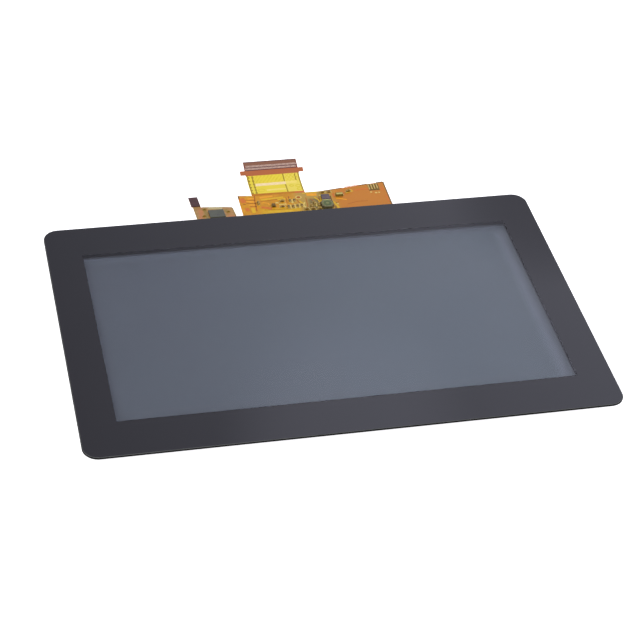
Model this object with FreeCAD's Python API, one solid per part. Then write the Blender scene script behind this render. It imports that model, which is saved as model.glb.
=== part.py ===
"""A 7-inch colour display module with a bonded touch glass, lying on its back.

Millimetres. The origin is the centre of the cover glass's outline, on the plane that the
rear frame stands on. +X runs along the long side, +Y towards the side that the two flex
circuits leave from, and +Z towards the viewer. The pieces are stacked from the rear
frame's beads upwards, and outwards from the picture area.
"""

import FreeCAD, Part
import math
import os

V = FreeCAD.Vector

# Picture area, and the dark rim of the panel's glass that shows round it.
picture_width = 154.08
picture_height = 85.92
window_side_margin = 0.45
window_end_margin = 0.05

# Cover glass, its printed border, the adhesive and the touch sensor's glass.
cover_thickness = 0.8
cover_corner_radius = 5.3
cover_chamfer = 0.15
cover_side_overhang = 7.49
cover_bottom_overhang = 11.29
cover_top_overhang = 7.69
print_thickness = 0.02
print_inset = 0.2
adhesive_thickness = 0.48
adhesive_inset = 0.5
sensor_thickness = 0.7
sensor_overhang = 0.6
sensor_corner_radius = 0.8

# Foam tape between the sensor's glass and the front frame.
panel_tape_thickness = 0.5
panel_tape_inset = 0.8
panel_tape_setback = 0.5

# Panel: two glasses with a polarizer on each side. The array glass is longer at the top.
array_thickness = 0.5
filter_thickness = 0.5
polarizer_thickness = 0.18
panel_side_border = 3.2
panel_bottom_border = 2.6
filter_top_border = 2.0
polarizer_inset = 0.35
panel_front_gap = 0.08

# Driver chips on the array glass's ledge.
driver_chip_length = 24.0
driver_chip_depth = 1.1
driver_chip_height = 0.3
driver_chip_setback = 0.7
driver_chip_gap = 1.0
driver_chip_spacing = 78.0

# Steel frames. The front frame's skirt goes inside the rear frame's walls.
front_sheet = 0.25
front_skirt_clearance = 0.75
front_window_margin = 1.2
rear_sheet = 0.3
rear_bend_radius = 0.2
rear_corner_relief = 1.2
wall_gap = 0.05
flex_clearance = 0.15

# Beads stamped outwards in the rear frame. The module stands on them.
bead_height = 0.25
bead_width = 5.0
bead_gap = 10.0
long_bead_spacing = 27.0
end_bead_setback = 11.0
end_bead_margin = 19.0

# Moulded frame that holds the light guide and carries the panel.
panel_clearance = 0.2
mould_side_wall = 1.4
mould_bottom_wall = 2.2
mould_top_wall = 1.3
mould_front_gap = 0.05
mould_corner_radius = 0.5
light_clearance = 0.15
rim_tape_thickness = 0.06
rim_tape_inset = 0.1

# Latches: hooks on the moulded frame that catch in windows of both steel frames.
latch_width = 5.0
latch_height = 1.2
latch_clearance = 0.2
latch_land = 0.45
long_side_latches = 5
short_side_latches = 3
long_latch_end = 14.4
short_latch_end = 16.0

# Backlight, from the rear: reflector, light guide, diffuser and two prism sheets. The
# panel lies on a shelf round it.
shelf_side = 1.5
shelf_bottom = 0.85
reflector_thickness = 0.2
guide_thickness = 1.4
guide_top_margin = 2.2
guide_lug_width = 4.0
guide_lug_reach = 0.9
guide_lug_offset = -16.0
diffuser_thickness = 0.12
prism_thickness = 0.16
film_clearance = 0.5
film_strip_gap = 0.2
film_tab_width = 3.0
film_tab_reach = 1.1
film_tab_offset = 12.0
film_slack = 0.06

# Light bar: a flex strip with the lamps hanging under it, at the top edge of the guide.
led_count = 27
led_width = 3.0
led_depth = 0.8
led_height = 1.3
led_gap = 0.1
led_window_depth = 0.08
led_window_border = 0.25
led_flex_thickness = 0.12
led_flex_overlap = 0.9
led_flex_back = 0.6
led_tail_width = 6.0
led_tail_slot = 0.35
led_tail_bend_radius = 3.0
led_tail_bend_angle = 16.0

# Display flex: a stiff component board bonded to the ledge, and a thin tail with a plug.
# Its reaches are from the array glass's edge. Its far edge falls from the left corner to the
# tail, is level up to a kink, and then rises to the right corner.
board_thickness = 0.2
board_left = -15.9
board_width = 56.7
board_reach = 25.39
board_rise = 2.95
board_rise_width = 24.4
board_left_rise = 0.85
board_neck_inset = 1.5
board_neck_reach = 7.35
board_bond_depth = 1.5
tail_thickness = 0.1
tail_centre = -0.4
tail_width = 20.2
tail_straight = 5.26
tail_root = 0.5
tail_curl_radius = 25.0
tail_curl_angle = 15.0

# Plug at the tail's end: a wider piece with two ears, two rows of contacts and a stiffener.
plug_width = 20.5
plug_end_margin = 1.9
ear_reach = 1.9
ear_length = 1.9
ear_start = 0.7
tail_stiffener_thickness = 0.22
contact_pitch = 0.5
contact_width = 0.35
contact_length = 0.9
contact_thickness = 0.03
contact_edge = 0.1
contact_row_start = 2.9
contact_row_gap = 0.35

# Stiffener under the board's components.
board_stiffener_thickness = 0.3
board_stiffener_edge = 1.6
board_stiffener_width = 44.0
board_stiffener_depth = 13.0

# Chips on the board. Every place on the board is from its left edge and its far edge,
# which it is below.
power_chip_size = 3.1
power_chip_height = 0.8
power_chip_place = (32.4, 4.64)
power_chip_mark = (-1.1, 1.1)
level_chip_length = 1.3
level_chip_width = 1.5
level_chip_height = 0.85
level_chip_place = (12.2, 7.14)
level_chip_mark = (-0.3, 0.4)
chip_dimple_radius = 0.18
chip_dimple_depth = 0.05

# Coil and diode that raise the voltage for the lamps.
inductor_size = 4.6
inductor_height = 1.3
inductor_corner = 1.1
inductor_foot = 0.25
inductor_place = (32.1, 9.44)
diode_length = 2.7
diode_width = 1.6
diode_height = 0.9
diode_lead_length = 0.5
diode_lead_width = 0.6
diode_lead_height = 0.15
diode_place = (38.0, 3.54)

# Ceramic capacitors and resistors: length, width, height and length of each metal end.
capacitor_size = (1.6, 0.8, 0.8)
capacitor_end = 0.35
resistor_size = (1.6, 0.8, 0.45)
resistor_end = 0.3
end_cap_lip = 0.02
# Each place is followed by the degrees that the piece is turned.
board_capacitor_places = (
    (6.9, 4.84, 90), (15.9, 4.74, 0), (27.6, 7.44, 90), (29.1, 8.64, 90), (26.3, 9.04, 90),
    (24.0, 10.74, 0), (26.4, 10.94, 0), (28.8, 11.24, 0), (31.9, 1.24, 5), (41.9, 1.64, 6),
)
board_resistor_places = (
    (18.9, 4.64, 90), (20.6, 4.64, 90), (17.7, 8.24, 90), (19.4, 8.44, 90), (21.1, 8.24, 90),
    (22.8, 8.04, 90), (15.4, 7.94, 0), (34.4, 1.04, 5),
)

# Solder bars that join the light bar's tail to the board's edge.
solder_pitch = 1.05
solder_width = 0.5
solder_length = 3.2
solder_height = 0.12
solder_edge = 0.45
solder_side = 1.1
led_tail_setback = 4.85

# Touch flex: bonded to the sensor's glass, it slopes down and ends in a narrow plug. The
# slope's length is up to its left end, which is ahead of its right end by the slant.
touch_flex_thickness = 0.12
touch_left = -33.3
touch_width = 14.7
touch_bond_depth = 2.2
touch_bond_spread = 4.0
touch_bond_clearance = 0.5
touch_straight = 0.9
touch_bend_radius = 6.0
touch_slope_angle = 9.0
touch_slope_length = 18.15
touch_slant = 2.4
touch_taper = 0.4
touch_tail_width = 3.4
touch_tail_offset = -0.5
touch_tail_length = 7.4
touch_stiffener_thickness = 0.25
touch_contact_pitch = 0.5
touch_contact_width = 0.32
touch_contact_length = 4.0
touch_contact_thickness = 0.03
touch_contact_edge = 0.2

# Touch controller chip and its capacitors, placed from the touch flex's left edge and
# its left end, which they are below.
touch_chip_size = 5.7
touch_chip_height = 0.6
touch_chip_place = (7.75, 7.2)
touch_chip_mark = (0.25, -1.4)
touch_capacitor_size = (1.0, 0.5, 0.5)
touch_capacitor_end = 0.22
touch_capacitor_places = ((12.3, 5.7, 0), (3.9, 2.7, 0), (3.0, 7.8, 0))

# Heights of the faces that the layers meet at, from the rear frame's beads upwards.
plate_bottom = bead_height
plate_top = plate_bottom + rear_sheet
reflector_top = plate_top + reflector_thickness
guide_top = reflector_top + guide_thickness
diffuser_top = guide_top + diffuser_thickness
lower_prism_top = diffuser_top + prism_thickness
upper_prism_top = lower_prism_top + prism_thickness
shelf_top = upper_prism_top + film_slack
rim_tape_top = shelf_top + rim_tape_thickness
lower_polarizer_top = rim_tape_top + polarizer_thickness
array_top = lower_polarizer_top + array_thickness
filter_top = array_top + filter_thickness
upper_polarizer_top = filter_top + polarizer_thickness
front_plate_bottom = upper_polarizer_top + panel_front_gap
front_plate_top = front_plate_bottom + front_sheet
panel_tape_top = front_plate_top + panel_tape_thickness
sensor_top = panel_tape_top + sensor_thickness
print_bottom = sensor_top + adhesive_thickness
cover_bottom = print_bottom + print_thickness
cover_top = cover_bottom + cover_thickness
mould_top = front_plate_bottom - mould_front_gap
board_top = array_top + board_thickness
rear_wall_top = array_top - flex_clearance
led_flex_bottom = guide_top
led_flex_top = led_flex_bottom + led_flex_thickness
front_skirt_bottom = plate_top + front_skirt_clearance
latch_top = rear_wall_top - latch_land
latch_bottom = latch_top - latch_height


def area(left, right, bottom, top):
    """A rectangle seen from the front."""
    return {"left": left, "right": right, "bottom": bottom, "top": top}


def grown(rectangle, left, right, bottom, top):
    """The rectangle with each side moved outwards by its own distance."""
    return area(
        rectangle["left"] - left,
        rectangle["right"] + right,
        rectangle["bottom"] - bottom,
        rectangle["top"] + top,
    )


def grown_all(rectangle, distance):
    """The rectangle with every side moved outwards by the same distance."""
    return grown(rectangle, distance, distance, distance, distance)


def grown_sides(rectangle, side, bottom, top):
    """The rectangle grown alike to the left and right, and by its own amount elsewhere."""
    return grown(rectangle, side, side, bottom, top)


# Outlines, outwards from the picture. The cover glass's outline is centred on the origin.
ledge_depth = driver_chip_setback + driver_chip_depth + driver_chip_gap + board_bond_depth
frame_wall = wall_gap + front_sheet + wall_gap + rear_sheet
border_below = (
    panel_bottom_border + panel_clearance + mould_bottom_wall + frame_wall + cover_bottom_overhang
)
border_above = (
    filter_top_border + ledge_depth + panel_clearance + mould_top_wall + frame_wall
    + cover_top_overhang
)
picture_centre_y = (border_below - border_above) / 2
picture = area(
    -picture_width / 2,
    picture_width / 2,
    picture_centre_y - picture_height / 2,
    picture_centre_y + picture_height / 2,
)
filter_glass = grown_sides(picture, panel_side_border, panel_bottom_border, filter_top_border)
array_glass = grown(filter_glass, 0, 0, 0, ledge_depth)
panel_pocket = grown_all(array_glass, panel_clearance)
mould = grown_sides(panel_pocket, mould_side_wall, mould_bottom_wall, mould_top_wall)
front_inside = grown_all(mould, wall_gap)
front_outside = grown_all(front_inside, front_sheet)
rear_inside = grown_all(front_outside, wall_gap)
rear_outside = grown_all(rear_inside, rear_sheet)
sensor = grown_all(rear_outside, sensor_overhang)
cover = grown_sides(
    rear_outside, cover_side_overhang, cover_bottom_overhang, cover_top_overhang
)
window = grown_sides(picture, window_side_margin, window_end_margin, window_end_margin)
guide = area(
    array_glass["left"] + shelf_side + light_clearance,
    array_glass["right"] - shelf_side - light_clearance,
    array_glass["bottom"] + shelf_bottom + light_clearance,
    picture["top"] + guide_top_margin,
)
led_front = guide["top"] + led_gap
led_back = led_front + led_depth
led_strip = area(
    guide["left"], guide["right"], guide["top"] - led_flex_overlap, led_back + led_flex_back
)
backlight = area(guide["left"], guide["right"], guide["bottom"], led_strip["top"])
light_pocket = grown_all(backlight, light_clearance)
films = area(
    light_pocket["left"] + film_clearance,
    light_pocket["right"] - film_clearance,
    light_pocket["bottom"] + film_clearance,
    led_strip["bottom"] - film_strip_gap,
)
board_right = board_left + board_width
board_edge = array_glass["top"] + board_reach
touch_right = touch_left + touch_width
led_tail_x = board_right - led_tail_setback
plug_length = contact_row_start + 2 * contact_length + contact_row_gap + plug_end_margin


def block(rectangle, bottom, top):
    """A rectangular plate between two heights."""
    width = rectangle["right"] - rectangle["left"]
    depth = rectangle["top"] - rectangle["bottom"]
    corner = V(rectangle["left"], rectangle["bottom"], bottom)
    return Part.makeBox(width, depth, top - bottom, corner)


def rounded_block(rectangle, bottom, top, radius):
    """A plate with its four upright corners rounded."""
    plate = block(rectangle, bottom, top)
    upright = [e for e in plate.Edges if abs(e.Vertexes[0].Z - e.Vertexes[1].Z) > 1e-6]
    return plate.makeFillet(radius, upright)


def prism(points, bottom, top):
    """A plate with a straight-sided outline."""
    corners = [V(x, y, bottom) for x, y in points]
    outline = Part.makePolygon(corners + corners[:1])
    return Part.Face(outline).extrude(V(0, 0, top - bottom))


def stadium(centre_x, centre_y, length, width, bottom, top, upright=False):
    """A plate with round ends, lying along X, or along Y if upright."""
    half = (length - width) / 2
    to_end = V(0, half, 0) if upright else V(half, 0, 0)
    middle = V(centre_x, centre_y, bottom)
    ends = [
        Part.makeCylinder(width / 2, top - bottom, middle + to_end * side) for side in (-1, 1)
    ]
    if upright:
        bar = area(centre_x - width / 2, centre_x + width / 2, centre_y - half, centre_y + half)
    else:
        bar = area(centre_x - half, centre_x + half, centre_y - width / 2, centre_y + width / 2)
    return block(bar, bottom, top).fuse(ends).removeSplitter()


def edges_at(solid, height):
    """The edges of a solid that lie in one level plane."""
    return [e for e in solid.Edges if all(abs(v.Z - height) < 1e-6 for v in e.Vertexes)]


def step_runs(rise, radius, angle):
    """A step up (or down) of a strip: a bend, a slope and the bend back."""
    way = 1 if rise > 0 else -1
    most = math.degrees(math.acos(max(-1.0, 1 - abs(rise) / (2 * radius))))
    turn = min(angle, most)
    left_over = abs(rise) - 2 * radius * (1 - math.cos(math.radians(turn)))
    slope = max(left_over, 0) / math.sin(math.radians(turn))
    runs = [("bend", radius, way * turn)]
    if slope > 1e-6:
        runs.append(("run", slope))
    return runs + [("bend", radius, -way * turn)]


def after(stop, run):
    """The stop (y, z, angle) at the end of a straight run or of a bend in the YZ plane."""
    y, z, angle = stop
    if run[0] == "run":
        return y + run[1] * math.cos(angle), z + run[1] * math.sin(angle), angle
    radius = math.copysign(run[1], run[2])
    centre_y = y - radius * math.sin(angle)
    centre_z = z + radius * math.cos(angle)
    angle += math.radians(run[2])
    return centre_y + radius * math.sin(angle), centre_z - radius * math.cos(angle), angle


def walk(start_y, start_z, runs):
    """The stops before, between and after the runs."""
    stops = [(start_y, start_z, 0.0)]
    for run in runs:
        stops.append(after(stops[-1], run))
    return stops


def beside(stop, distance):
    """A point at a distance above a stop's centre line."""
    y, z, angle = stop
    return V(0, y - distance * math.sin(angle), z + distance * math.cos(angle))


def strip(left, right, start_y, centre_z, thickness, runs):
    """A sheet between two X positions that follows runs and bends from start_y on."""
    stops = walk(start_y, centre_z, runs)
    sides = (thickness / 2, -thickness / 2)
    curves = [
        Part.LineSegment(*[beside(end, side) for side in sides]) for end in (stops[0], stops[-1])
    ]
    for begin, run, end in zip(stops, runs, stops[1:]):
        for side in sides:
            if run[0] == "run":
                curves.append(Part.LineSegment(beside(begin, side), beside(end, side)))
            else:
                middle = after(begin, ("bend", run[1], run[2] / 2))
                points = [beside(stop, side) for stop in (begin, middle, end)]
                curves.append(Part.Arc(*points))
    edges = [curve.toShape() for curve in curves]
    profile = Part.Face(Part.Wire(Part.__sortEdges__(edges)))
    profile.translate(V(left, 0, 0))
    return profile.extrude(V(right - left, 0, 0))


def across(width, pitch, piece, edge):
    """Offsets from the middle of a row of pieces that fits a width, with clear edges."""
    count = int((width - 2 * edge - piece) / pitch) + 1
    return [(number - (count - 1) / 2) * pitch for number in range(count)]


def save(name, shape):
    """Writes one piece, or one group of like pieces, to its own file."""
    if not isinstance(shape, (list, tuple)):
        shape = [shape]
    solids = [solid for piece in shape for solid in piece.Solids]
    whole = solids[0] if len(solids) == 1 else Part.makeCompound(solids)
    whole.exportStep(f"parts/{name}.step")


def cover_glass():
    """Toughened glass with ground edges all round."""
    plate = rounded_block(cover, cover_bottom, cover_top, cover_corner_radius)
    rim = edges_at(plate, cover_bottom) + edges_at(plate, cover_top)
    return plate.makeChamfer(cover_chamfer, rim)


def border_print():
    """Black ink on the cover's rear face, round the picture's window."""
    outer_radius = cover_corner_radius - print_inset
    sheet = rounded_block(
        grown_all(cover, -print_inset), print_bottom, cover_bottom, outer_radius
    )
    return sheet.cut(block(window, print_bottom, cover_bottom))


def touch_bond_notch():
    """The part of the sensor's top edge that the touch flex is bonded to."""
    return area(
        touch_left - touch_bond_spread,
        touch_right + touch_bond_spread,
        sensor["top"] - touch_bond_depth,
        sensor["top"],
    )


def optical_adhesive():
    """Clear adhesive over the sensor's glass. It also fills the print's window."""
    sheet = block(grown_all(sensor, -adhesive_inset), sensor_top, print_bottom)
    notch = grown_all(touch_bond_notch(), touch_bond_clearance)
    fill = block(window, print_bottom, cover_bottom)
    return sheet.cut(block(notch, sensor_top, print_bottom)).fuse(fill).removeSplitter()


def sensor_glass():
    """The touch sensor's own glass."""
    return rounded_block(sensor, panel_tape_top, sensor_top, sensor_corner_radius)


def panel_tape():
    """A foam tape frame between the front frame and the sensor's glass."""
    outside = grown_all(front_outside, -panel_tape_inset)
    opening = grown_all(picture, front_window_margin + panel_tape_setback)
    frame = block(outside, front_plate_top, panel_tape_top)
    return frame.cut(block(opening, front_plate_top, panel_tape_top))


def latch_centres():
    """(x, y, outward direction) of each latch on the moulded frame's outside."""
    middle_y = (mould["bottom"] + mould["top"]) / 2
    long_pitch = (mould["right"] - mould["left"] - 2 * long_latch_end) / (long_side_latches - 1)
    short_pitch = (mould["top"] - mould["bottom"] - 2 * short_latch_end) / (
        short_side_latches - 1
    )
    places = []
    for number in range(long_side_latches):
        x = (number - (long_side_latches - 1) / 2) * long_pitch
        places.append((x, mould["bottom"], V(0, -1, 0)))
        if not board_left - latch_width < x < board_right + latch_width:
            places.append((x, mould["top"], V(0, 1, 0)))
    for number in range(short_side_latches):
        y = middle_y + (number - (short_side_latches - 1) / 2) * short_pitch
        places.append((mould["left"], y, V(-1, 0, 0)))
        places.append((mould["right"], y, V(1, 0, 0)))
    return places


def latch_box(place, width, low, high, reach):
    """A box at a latch, from inside the moulded frame's face to a distance outside it."""
    x, y, out = place
    half = width / 2
    inwards = mould_side_wall / 2
    if out.x:
        ends = sorted((x - out.x * inwards, x + out.x * reach))
        return block(area(ends[0], ends[1], y - half, y + half), low, high)
    ends = sorted((y - out.y * inwards, y + out.y * reach))
    return block(area(x - half, x + half, ends[0], ends[1]), low, high)


def latch_windows():
    """Openings for the hooks, through both steel walls."""
    reach = frame_wall + latch_clearance
    return [
        latch_box(place, latch_width, latch_bottom, latch_top, reach)
        for place in latch_centres()
    ]


def latch_hooks():
    """Hooks that reach through the windows, and end level with the rear wall's face."""
    low = latch_bottom + latch_clearance
    high = latch_top - latch_clearance
    width = latch_width - 2 * latch_clearance
    return [latch_box(place, width, low, high, frame_wall) for place in latch_centres()]


def flex_gap():
    """The stretch of the top wall that the display flex and the light bar's tail leave by."""
    return area(
        board_left - flex_clearance,
        board_right + flex_clearance,
        panel_pocket["top"] - panel_clearance,
        sensor["top"],
    )


def front_frame():
    """A folded steel frame with a window, whose skirt goes inside the rear frame."""
    shell = block(front_outside, front_skirt_bottom, front_plate_top)
    shell = shell.makeFillet(front_sheet, edges_at(shell, front_plate_top))
    hollow = block(front_inside, front_skirt_bottom, front_plate_bottom)
    opening = grown_all(picture, front_window_margin)
    cuts = [hollow, block(opening, front_plate_bottom, front_plate_top)]
    cuts.append(block(flex_gap(), front_skirt_bottom, front_plate_bottom))
    return shell.cut(cuts + latch_windows())


def led_tail_area(clearance):
    """The stretch of the top wall that the light bar's tail needs."""
    half = led_tail_width / 2 + clearance
    return area(led_tail_x - half, led_tail_x + half, light_pocket["top"], sensor["top"])


def bead(centre_x, centre_y, length, upright):
    """One stamped bead, and the hollow that the punch leaves on its inner side."""
    outside = stadium(
        centre_x, centre_y, length, bead_width, plate_bottom - bead_height, plate_top, upright
    )
    hollow = stadium(
        centre_x,
        centre_y,
        length - 2 * rear_sheet,
        bead_width - 2 * rear_sheet,
        plate_top - bead_height,
        plate_top,
        upright,
    )
    return outside, hollow


def rear_frame():
    """A folded steel tray with open corners, stamped beads and latch windows."""
    outer_radius = rear_bend_radius + rear_sheet
    tray = block(rear_outside, plate_bottom, rear_wall_top)
    tray = tray.makeFillet(outer_radius, edges_at(tray, plate_bottom))
    hollow = block(rear_inside, plate_top, rear_wall_top + rear_sheet)
    hollow = hollow.makeFillet(rear_bend_radius, edges_at(hollow, plate_top))
    reliefs = []
    for x in (rear_outside["left"], rear_outside["right"]):
        for y in (rear_outside["bottom"], rear_outside["top"]):
            corner = grown_all(area(x, x, y, y), rear_corner_relief)
            reliefs.append(block(corner, plate_bottom, rear_wall_top))
    tray = tray.cut([hollow] + reliefs)
    end_bead_x = rear_outside["right"] - end_bead_setback
    long_length = 2 * (end_bead_x - bead_gap) - bead_width
    end_length = rear_outside["top"] - rear_outside["bottom"] - 2 * end_bead_margin
    middle_y = (rear_outside["bottom"] + rear_outside["top"]) / 2
    beads = [bead(0, row * long_bead_spacing, long_length, False) for row in (-1, 0, 1)]
    beads += [bead(side * end_bead_x, middle_y, end_length, True) for side in (-1, 1)]
    tray = tray.fuse([outside for outside, hollow in beads])
    tray = tray.cut([hollow for outside, hollow in beads])
    tail_notch = block(
        led_tail_area(flex_clearance), led_flex_bottom - flex_clearance, rear_wall_top
    )
    return tray.cut(latch_windows() + [tail_notch]).removeSplitter()


def side_lugs(rectangle, offset, width, reach):
    """Two ears that stick out of a sheet's short sides."""
    middle_y = (rectangle["bottom"] + rectangle["top"]) / 2 + offset
    return area(
        rectangle["left"] - reach,
        rectangle["right"] + reach,
        middle_y - width / 2,
        middle_y + width / 2,
    )


def mould_frame():
    """The moulded frame: a pocket for the backlight, a shelf and a wall round the panel."""
    body = rounded_block(mould, plate_top, mould_top, mould_corner_radius)
    guide_lugs = side_lugs(guide, guide_lug_offset, guide_lug_width, guide_lug_reach)
    film_tabs = side_lugs(films, film_tab_offset, film_tab_width, film_tab_reach)
    cuts = [
        block(light_pocket, plate_top, shelf_top),
        block(panel_pocket, shelf_top, mould_top),
        block(grown_all(guide_lugs, light_clearance), plate_top, guide_top),
        block(grown_all(film_tabs, light_clearance), guide_top, shelf_top),
        block(flex_gap(), array_top - flex_clearance, mould_top),
        block(led_tail_area(flex_clearance), led_flex_bottom - flex_clearance, mould_top),
    ]
    return body.fuse(latch_hooks()).cut(cuts).removeSplitter()


def rim_tape():
    """Black tape on the shelf, which the panel lies on."""
    outside = grown_all(array_glass, -rim_tape_inset)
    inside = grown_all(light_pocket, rim_tape_inset)
    return block(outside, shelf_top, rim_tape_top).cut(block(inside, shelf_top, rim_tape_top))


def upper_polarizer():
    """The polarizer that faces the viewer."""
    return block(grown_all(filter_glass, -polarizer_inset), filter_top, upper_polarizer_top)


def colour_filter_glass():
    """The panel's front glass, which carries the colour filter."""
    return block(filter_glass, array_top, filter_top)


def array_glass_plate():
    """The panel's rear glass, with a ledge at the top for the chips and the flex."""
    return block(array_glass, lower_polarizer_top, array_top)


def lower_polarizer():
    """The polarizer that faces the backlight."""
    return block(grown_all(array_glass, -polarizer_inset), rim_tape_top, lower_polarizer_top)


def driver_chip(side):
    """A long bare chip on the ledge, left (-1) or right (1) of the middle."""
    middle = side * driver_chip_spacing / 2
    front = filter_glass["top"] + driver_chip_setback
    half = driver_chip_length / 2
    place = area(middle - half, middle + half, front, front + driver_chip_depth)
    return block(place, array_top, array_top + driver_chip_height)


def film(bottom, top):
    """A backlight film with its two locating tabs."""
    tabs = side_lugs(films, film_tab_offset, film_tab_width, film_tab_reach)
    return block(films, bottom, top).fuse(block(tabs, bottom, top)).removeSplitter()


def light_guide():
    """The clear acrylic plate that spreads the lamps' light."""
    lugs = side_lugs(guide, guide_lug_offset, guide_lug_width, guide_lug_reach)
    plate = block(guide, reflector_top, guide_top)
    return plate.fuse(block(lugs, reflector_top, guide_top)).removeSplitter()


def reflector_sheet():
    """A white sheet behind the light guide and the lamps."""
    return block(grown_all(light_pocket, -light_clearance), plate_top, reflector_top)


def leds():
    """The lamps, in a row along the light guide's top edge, each with its window."""
    pitch = (guide["right"] - guide["left"]) / led_count
    lamps = []
    for number in range(led_count):
        x = guide["left"] + pitch * (number + 0.5)
        body = area(x - led_width / 2, x + led_width / 2, led_front, led_back)
        low = led_flex_bottom - led_height
        lamp = block(body, low, led_flex_bottom)
        face = area(
            body["left"] + led_window_border,
            body["right"] - led_window_border,
            led_front,
            led_front + led_window_depth,
        )
        border = led_window_border
        lamps.append(lamp.cut(block(face, low + border, led_flex_bottom - border)))
    return lamps


def led_tail_runs():
    """The light bar's tail: out of the frame, up to the board's rear face, and along it."""
    rise = array_top - led_flex_top
    step = step_runs(rise, led_tail_bend_radius, led_tail_bend_angle)
    start_y = led_strip["top"] - led_flex_back
    straight = rear_outside["top"] + led_tail_slot - start_y
    begin = walk(start_y, 0, [("run", straight)] + step)[-1][0]
    end_y = board_edge_at(led_tail_x - led_tail_width / 2) - solder_edge
    return start_y, [("run", straight)] + step + [("run", end_y - begin)]


def led_flex():
    """The flex strip that carries the lamps, with its tail."""
    bar = block(led_strip, led_flex_bottom, led_flex_top)
    start_y, runs = led_tail_runs()
    half = led_tail_width / 2
    middle_z = (led_flex_bottom + led_flex_top) / 2
    tail = strip(
        led_tail_x - half, led_tail_x + half, start_y, middle_z, led_flex_thickness, runs
    )
    return bar.fuse(tail).removeSplitter()


def board_edge_at(x):
    """Y of the board's far edge: level up to the kink, then rising to the corner."""
    past_kink = x - (board_right - board_rise_width)
    return board_edge + max(past_kink, 0) * board_rise / board_rise_width


def board_outline():
    """The board and its narrower neck, which is bonded to the ledge."""
    bond = array_glass["top"] - board_bond_depth
    shoulder = array_glass["top"] + board_neck_reach
    kink = board_right - board_rise_width
    neck_left = board_left + board_neck_inset
    neck_right = board_right - board_neck_inset
    return [
        (neck_left, bond),
        (neck_right, bond),
        (neck_right, shoulder),
        (board_right, shoulder + board_neck_inset),
        (board_right, board_edge_at(board_right)),
        (kink, board_edge),
        (tail_centre - tail_width / 2, board_edge),
        (board_left, board_edge + board_left_rise),
        (board_left, shoulder + board_neck_inset),
        (neck_left, shoulder),
    ]


def tail_runs():
    """The tail's root inside the board, its level stretch and its upward curl."""
    return [
        ("run", tail_root + tail_straight),
        ("bend", tail_curl_radius, tail_curl_angle),
    ]


def tail_start():
    """Where the tail's centre line starts, inside the board's edge."""
    return board_edge - tail_root, array_top + board_thickness / 2


def laid_on(shape, stop):
    """Moves a shape drawn level, with Y along a strip from zero, to a stop of the strip."""
    y, z, angle = stop
    moved = shape.copy()
    moved.rotate(V(0, 0, 0), V(1, 0, 0), math.degrees(angle))
    moved.translate(V(0, y, z))
    return moved


def plug_stop():
    """Where the tail ends and its plug begins."""
    start_y, centre_z = tail_start()
    return walk(start_y, centre_z, tail_runs())[-1]


def plug_plate(low, high):
    """The plug's outline with its two ears, drawn level."""
    half = plug_width / 2
    body = area(tail_centre - half, tail_centre + half, 0, plug_length)
    ears = grown(body, ear_reach, ear_reach, -ear_start, ear_start + ear_length - plug_length)
    return block(body, low, high).fuse(block(ears, low, high)).removeSplitter()


def display_flex():
    """The display's flex circuit in one piece: neck, component board, tail and plug."""
    board = prism(board_outline(), array_top, board_top)
    start_y, centre_z = tail_start()
    left, right = tail_centre - tail_width / 2, tail_centre + tail_width / 2
    tail = strip(left, right, start_y, centre_z, tail_thickness, tail_runs())
    plug = laid_on(plug_plate(-tail_thickness / 2, tail_thickness / 2), plug_stop())
    return board.fuse([tail, plug]).removeSplitter()


def tail_stiffener():
    """The stiff film behind the plug, as wide as the plug and its ears."""
    top = -tail_thickness / 2
    return laid_on(plug_plate(top - tail_stiffener_thickness, top), plug_stop())


def tail_contacts():
    """Two staggered rows of tinned contacts on the plug's front."""
    low = tail_thickness / 2
    half = contact_width / 2
    row_width = plug_width - contact_pitch
    contacts = []
    for row in (0, 1):
        start = contact_row_start + row * (contact_length + contact_row_gap)
        middle = tail_centre + (row - 0.5) * contact_pitch / 2
        for offset in across(row_width, contact_pitch, contact_width, contact_edge):
            x = middle + offset
            contact = block(
                area(x - half, x + half, start, start + contact_length),
                low,
                low + contact_thickness,
            )
            contacts.append(laid_on(contact, plug_stop()))
    return contacts


def board_stiffener():
    """A stiff sheet on the board's rear, behind the components."""
    left = board_left + board_stiffener_edge
    top = board_edge - board_stiffener_edge
    place = area(left, left + board_stiffener_width, top - board_stiffener_depth, top)
    return block(place, array_top - board_stiffener_thickness, array_top)


def chip(centre, length, width, bottom, height, mark):
    """A moulded chip with a round pin mark, which is placed from the chip's middle."""
    x, y = centre
    body = block(
        area(x - length / 2, x + length / 2, y - width / 2, y + width / 2), bottom, bottom + height
    )
    floor = V(x + mark[0], y + mark[1], bottom + height - chip_dimple_depth)
    return body.cut(Part.makeCylinder(chip_dimple_radius, chip_dimple_depth, floor))


def on_board(place):
    """X and Y of a place on the board."""
    return board_left + place[0], board_edge - place[1]


def on_touch_flex(place):
    """X and Y of a place on the touch flex's slope, drawn level."""
    return touch_left + place[0], touch_slope_length - place[1]


def end_capped(centre, turned, size, end, bottom):
    """A ceramic body between two slightly larger metal ends."""
    length, width, height = size
    half_length, half_width = length / 2, width / 2
    lip = end_cap_lip
    body = block(
        area(-half_length, half_length, -half_width + lip, half_width - lip), 0, height - lip
    )
    caps = [
        block(area(-half_length, -half_length + end, -half_width, half_width), 0, height),
        block(area(half_length - end, half_length, -half_width, half_width), 0, height),
    ]
    piece = body.fuse(caps)
    piece.rotate(V(0, 0, 0), V(0, 0, 1), turned)
    piece.translate(V(centre[0], centre[1], bottom))
    return piece


def board_capacitors():
    """The board's ceramic capacitors."""
    return [
        end_capped(on_board(place), place[2], capacitor_size, capacitor_end, board_top)
        for place in board_capacitor_places
    ]


def board_resistors():
    """The board's resistors."""
    return [
        end_capped(on_board(place), place[2], resistor_size, resistor_end, board_top)
        for place in board_resistor_places
    ]


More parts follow.
